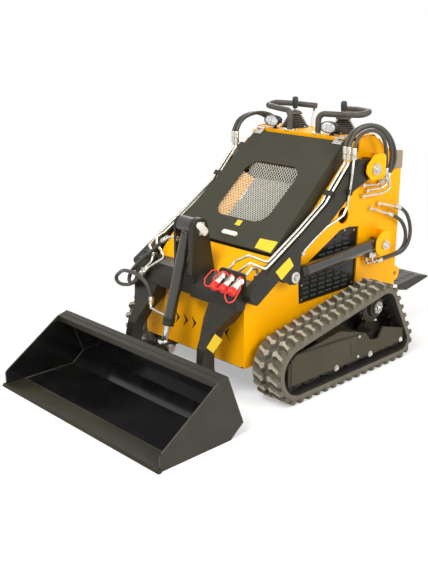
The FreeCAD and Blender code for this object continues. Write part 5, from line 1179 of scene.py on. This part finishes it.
LIP_DEEP, LIP_DROP, LIP_BACK_Y, CREASE_SHARE = 0.052, 0.014, -0.68, 0.55
LIP_FRONT_Y, LIP_LOW_Z = LIP_BACK_Y - LIP_DEEP, 0.241
# The beads' paler paint is partly wear and partly painted highlight along the edges.
beads = bmesh.new()
for y, z, radius in ((-0.9355, 0.0095, 0.0032), (LIP_FRONT_Y + 0.004, LIP_LOW_Z, 0.0036)):
    bar_between(beads, (-0.534, y, z), (0.534, y, z), radius)
EDGE_BEADS = [
    (0.5395, (LIP_FRONT_Y, 0.2645), (-1.0215, 0.072), 0.0034),
    (0.5345, (-0.66, 0.0085), (-0.935, 0.0085), 0.0028),
    (0.5345, (-0.665, 0.009), (-0.603, 0.058), 0.0028),
    (0.5345, (-0.603, 0.058), (-0.685, 0.268), 0.0028)]
for side in (1, -1):
    for x, start, end, radius in EDGE_BEADS:
        bar_between(beads, (side * x, *start), (side * x, *end), radius)
piece("bucket_beads", beads, [bucket_wear_and_highlight], "bucket", 60)
# A thin dark strip of painted shade along the crease of the top lip.
lip_crease_shade = bmesh.new()
sheet_of(lip_crease_shade, box(-0.53, -0.0022, 0.53, 0.0022), 0.0004,
    at(0, LIP_BACK_Y - LIP_DEEP * CREASE_SHARE, 0.279 - LIP_DROP * CREASE_SHARE)
    @ leaning(LIP_DEEP, LIP_DROP, "X"))
piece("bucket_lip_crease_shade", lip_crease_shade, [dark_rubber_and_painted_shade], "bucket")

# %% [markdown]
# ## Deck, rear and platform
# The deck is bolted down along its edges. The platform has a pattern of raised
# bars for a sure foothold, and the rear panel has a row of cooling louvres.

# %% Deck fasteners
deck_bolts = bmesh.new()
for side in (1, -1):
    for x, y in mm((120, 350), (235, 352), (262, 420), (262, 515), (60, 515), (60, 372)):
        hexagon(deck_bolts, 0.0046, 0.005, at(side * x, y, DECK_TOP))
    for dx, dy in ((0.03, -0.004), (-0.026, -0.006)):
        hexagon(deck_bolts, 0.0052, 0.006, at(side * (0.088 + dx), 0.358 + dy, DECK_TOP))
    turned(deck_bolts, mm((14.2, 0), (27, 0), (27, 4), (14.2, 5.5)),
        at(side * 0.088, 0.358, DECK_TOP), 28)
    for y in (0.445, 0.52, 0.6, 0.69):
        dome(deck_bolts, side_plane(side, 0.325, y, 0.3), 0.006, 0.0052, 0.0024, 0.002, 0.0034)
piece("deck_bolts", deck_bolts, [zinc], "chassis", 30)
struts = bmesh.new()
for side in (1, -1):
    place, long = pointing((side * 0.094, 0.528, 1.0705), (side * 0.094, 0.5425, 1.16))
    turned(struts, mm((0, 0), (7.8, 0), (7.8, 3), (6.6, 5), (6.6, 72), (5.2, 76), (0, 76)), place,
        18)
piece("bar_struts", struts, [latch_cream], "chassis", 40)

# %% Platform grip and rear louvres
grip = bmesh.new()
STEP_HINGE, STEP_TILT, GRIP_STEPS = (0.772, 0.262), 4, (0.064, 0.0205)
step_plane = at(0, *STEP_HINGE) @ turn(STEP_TILT, "X")
for row in range(9):
    for column in range(9):
        lean = 45 if (row + column) % 2 else -45
        x, along_step = column * GRIP_STEPS[0] - 0.256, row * GRIP_STEPS[1] + 0.048
        sheet_of(grip, mm((-11, -1.8), (11, -1.8), (13, 0), (11, 1.8), (-11, 1.8), (-13, 0)),
            0.0018, step_plane @ at(x, along_step, 0.0094) @ turn(lean, "Z"))
piece("platform_grip", grip, [frame_black], "platform")

rear_vents = bmesh.new()
for row in range(12):
    for column in (-1, 0, 1):
        wedge = at(column * 0.13 - 0.055, 0.709, 0.56 + row * 0.022) @ Matrix(
            ((0, 0, 1, 0), (1, 0, 0, 0), (0, 1, 0, 0), (0, 0, 0, 1)))
        sheet_of(rear_vents, mm((0, 0), (6, 1.2), (5.5, 3.4), (0, 12)), 0.11, wedge)
piece("rear_louvres", rear_vents, [body_yellow], "chassis")
rear_bolts = bmesh.new()
for x in (-0.29, 0.29):
    for z in (0.19, 0.55, 0.93):
        hexagon(rear_bolts, 0.006, 0.006, at(x, 0.71, z) @ turn(-90, "X"))
piece("rear_bolts", rear_bolts, [zinc], "chassis", 30)


# %% [markdown]
# ## Floor, world and lamps
# The floor and the world show white to the camera and to mirrors, and light the
# machine only weakly, so the lamps alone model its forms.


# %% Stage
def white_to_camera(graph, plain, output, light, share=None):
    """Mixes a plain shader with white light that only the camera and mirrors see."""
    seen = graph.node("ShaderNodeLightPath", {}, {}, "Is Camera Ray")
    for ray in ("Is Transmission Ray", "Is Glossy Ray"):
        seen = seen.math("MAXIMUM", graph.node("ShaderNodeLightPath", {}, {}, ray))
    if share:
        seen = seen * share
    white = graph.node(light, {}, {"Color": (1, 1, 1, 1), "Strength": 1.0})
    blend = graph.node("ShaderNodeMixShader", {}, {0: seen, 1: Wire(graph, plain.outputs[0]),
        2: white})
    graph.put(graph.tree.nodes[output].inputs[0], blend)


WORLD_LIGHT = 0.55
world = bpy.data.worlds.new("studio")
world.use_nodes = True
bpy.context.scene.world = world
background = world.node_tree.nodes["Background"]
background.inputs["Color"].default_value = (1, 1, 1, 1)
background.inputs["Strength"].default_value = WORLD_LIGHT
white_to_camera(Graph(world.node_tree), background, "World Output", "ShaderNodeBackground")

FLOOR_HALF, FLOOR_DROP = 14, 0.0005
floor_shape = bmesh.new()
bmesh.ops.create_grid(floor_shape, x_segments=1, y_segments=1, size=FLOOR_HALF)
floor_mesh = bpy.data.meshes.new("floor")
floor_shape.to_mesh(floor_mesh)
floor = add("floor", floor_mesh)
floor.location.z = -FLOOR_DROP
floor_finish = Finish("floor_white")
floor_finish.set(Base_Color=(1, 1, 1), Roughness=0.9)
distance = floor_finish.node("ShaderNodeVectorMath", {"operation": "LENGTH"},
    {0: floor_finish.place}, "Value")
far_away = floor_finish.ramp(distance, 1.3, 2.6) * 0.6 + 0.4
white_to_camera(floor_finish, floor_finish.shader, "Material Output", "ShaderNodeEmission",
    far_away)
floor_mesh.materials.append(floor_finish.material)


def area_lamp(name, place, aim, size, power):
    data = bpy.data.lights.new(name, "AREA")
    data.shape, data.size, data.energy = "DISK", size, power
    lamp = add(name, data)
    lamp.location = place
    lamp.rotation_mode = "QUATERNION"
    lamp.rotation_quaternion = (Vector(aim) - Vector(place)).to_track_quat("-Z", "Y")


area_lamp("key_lamp", (1.2, -3.6, 4.6), (0, 0, 0.5), 2.4, 230)
area_lamp("side_lamp", (4.8, 0.4, 3.0), (0, 0, 0.5), 2.6, 120)
area_lamp("back_lamp", (-2.8, 3.2, 3.8), (0, 0, 0.6), 2.4, 110)
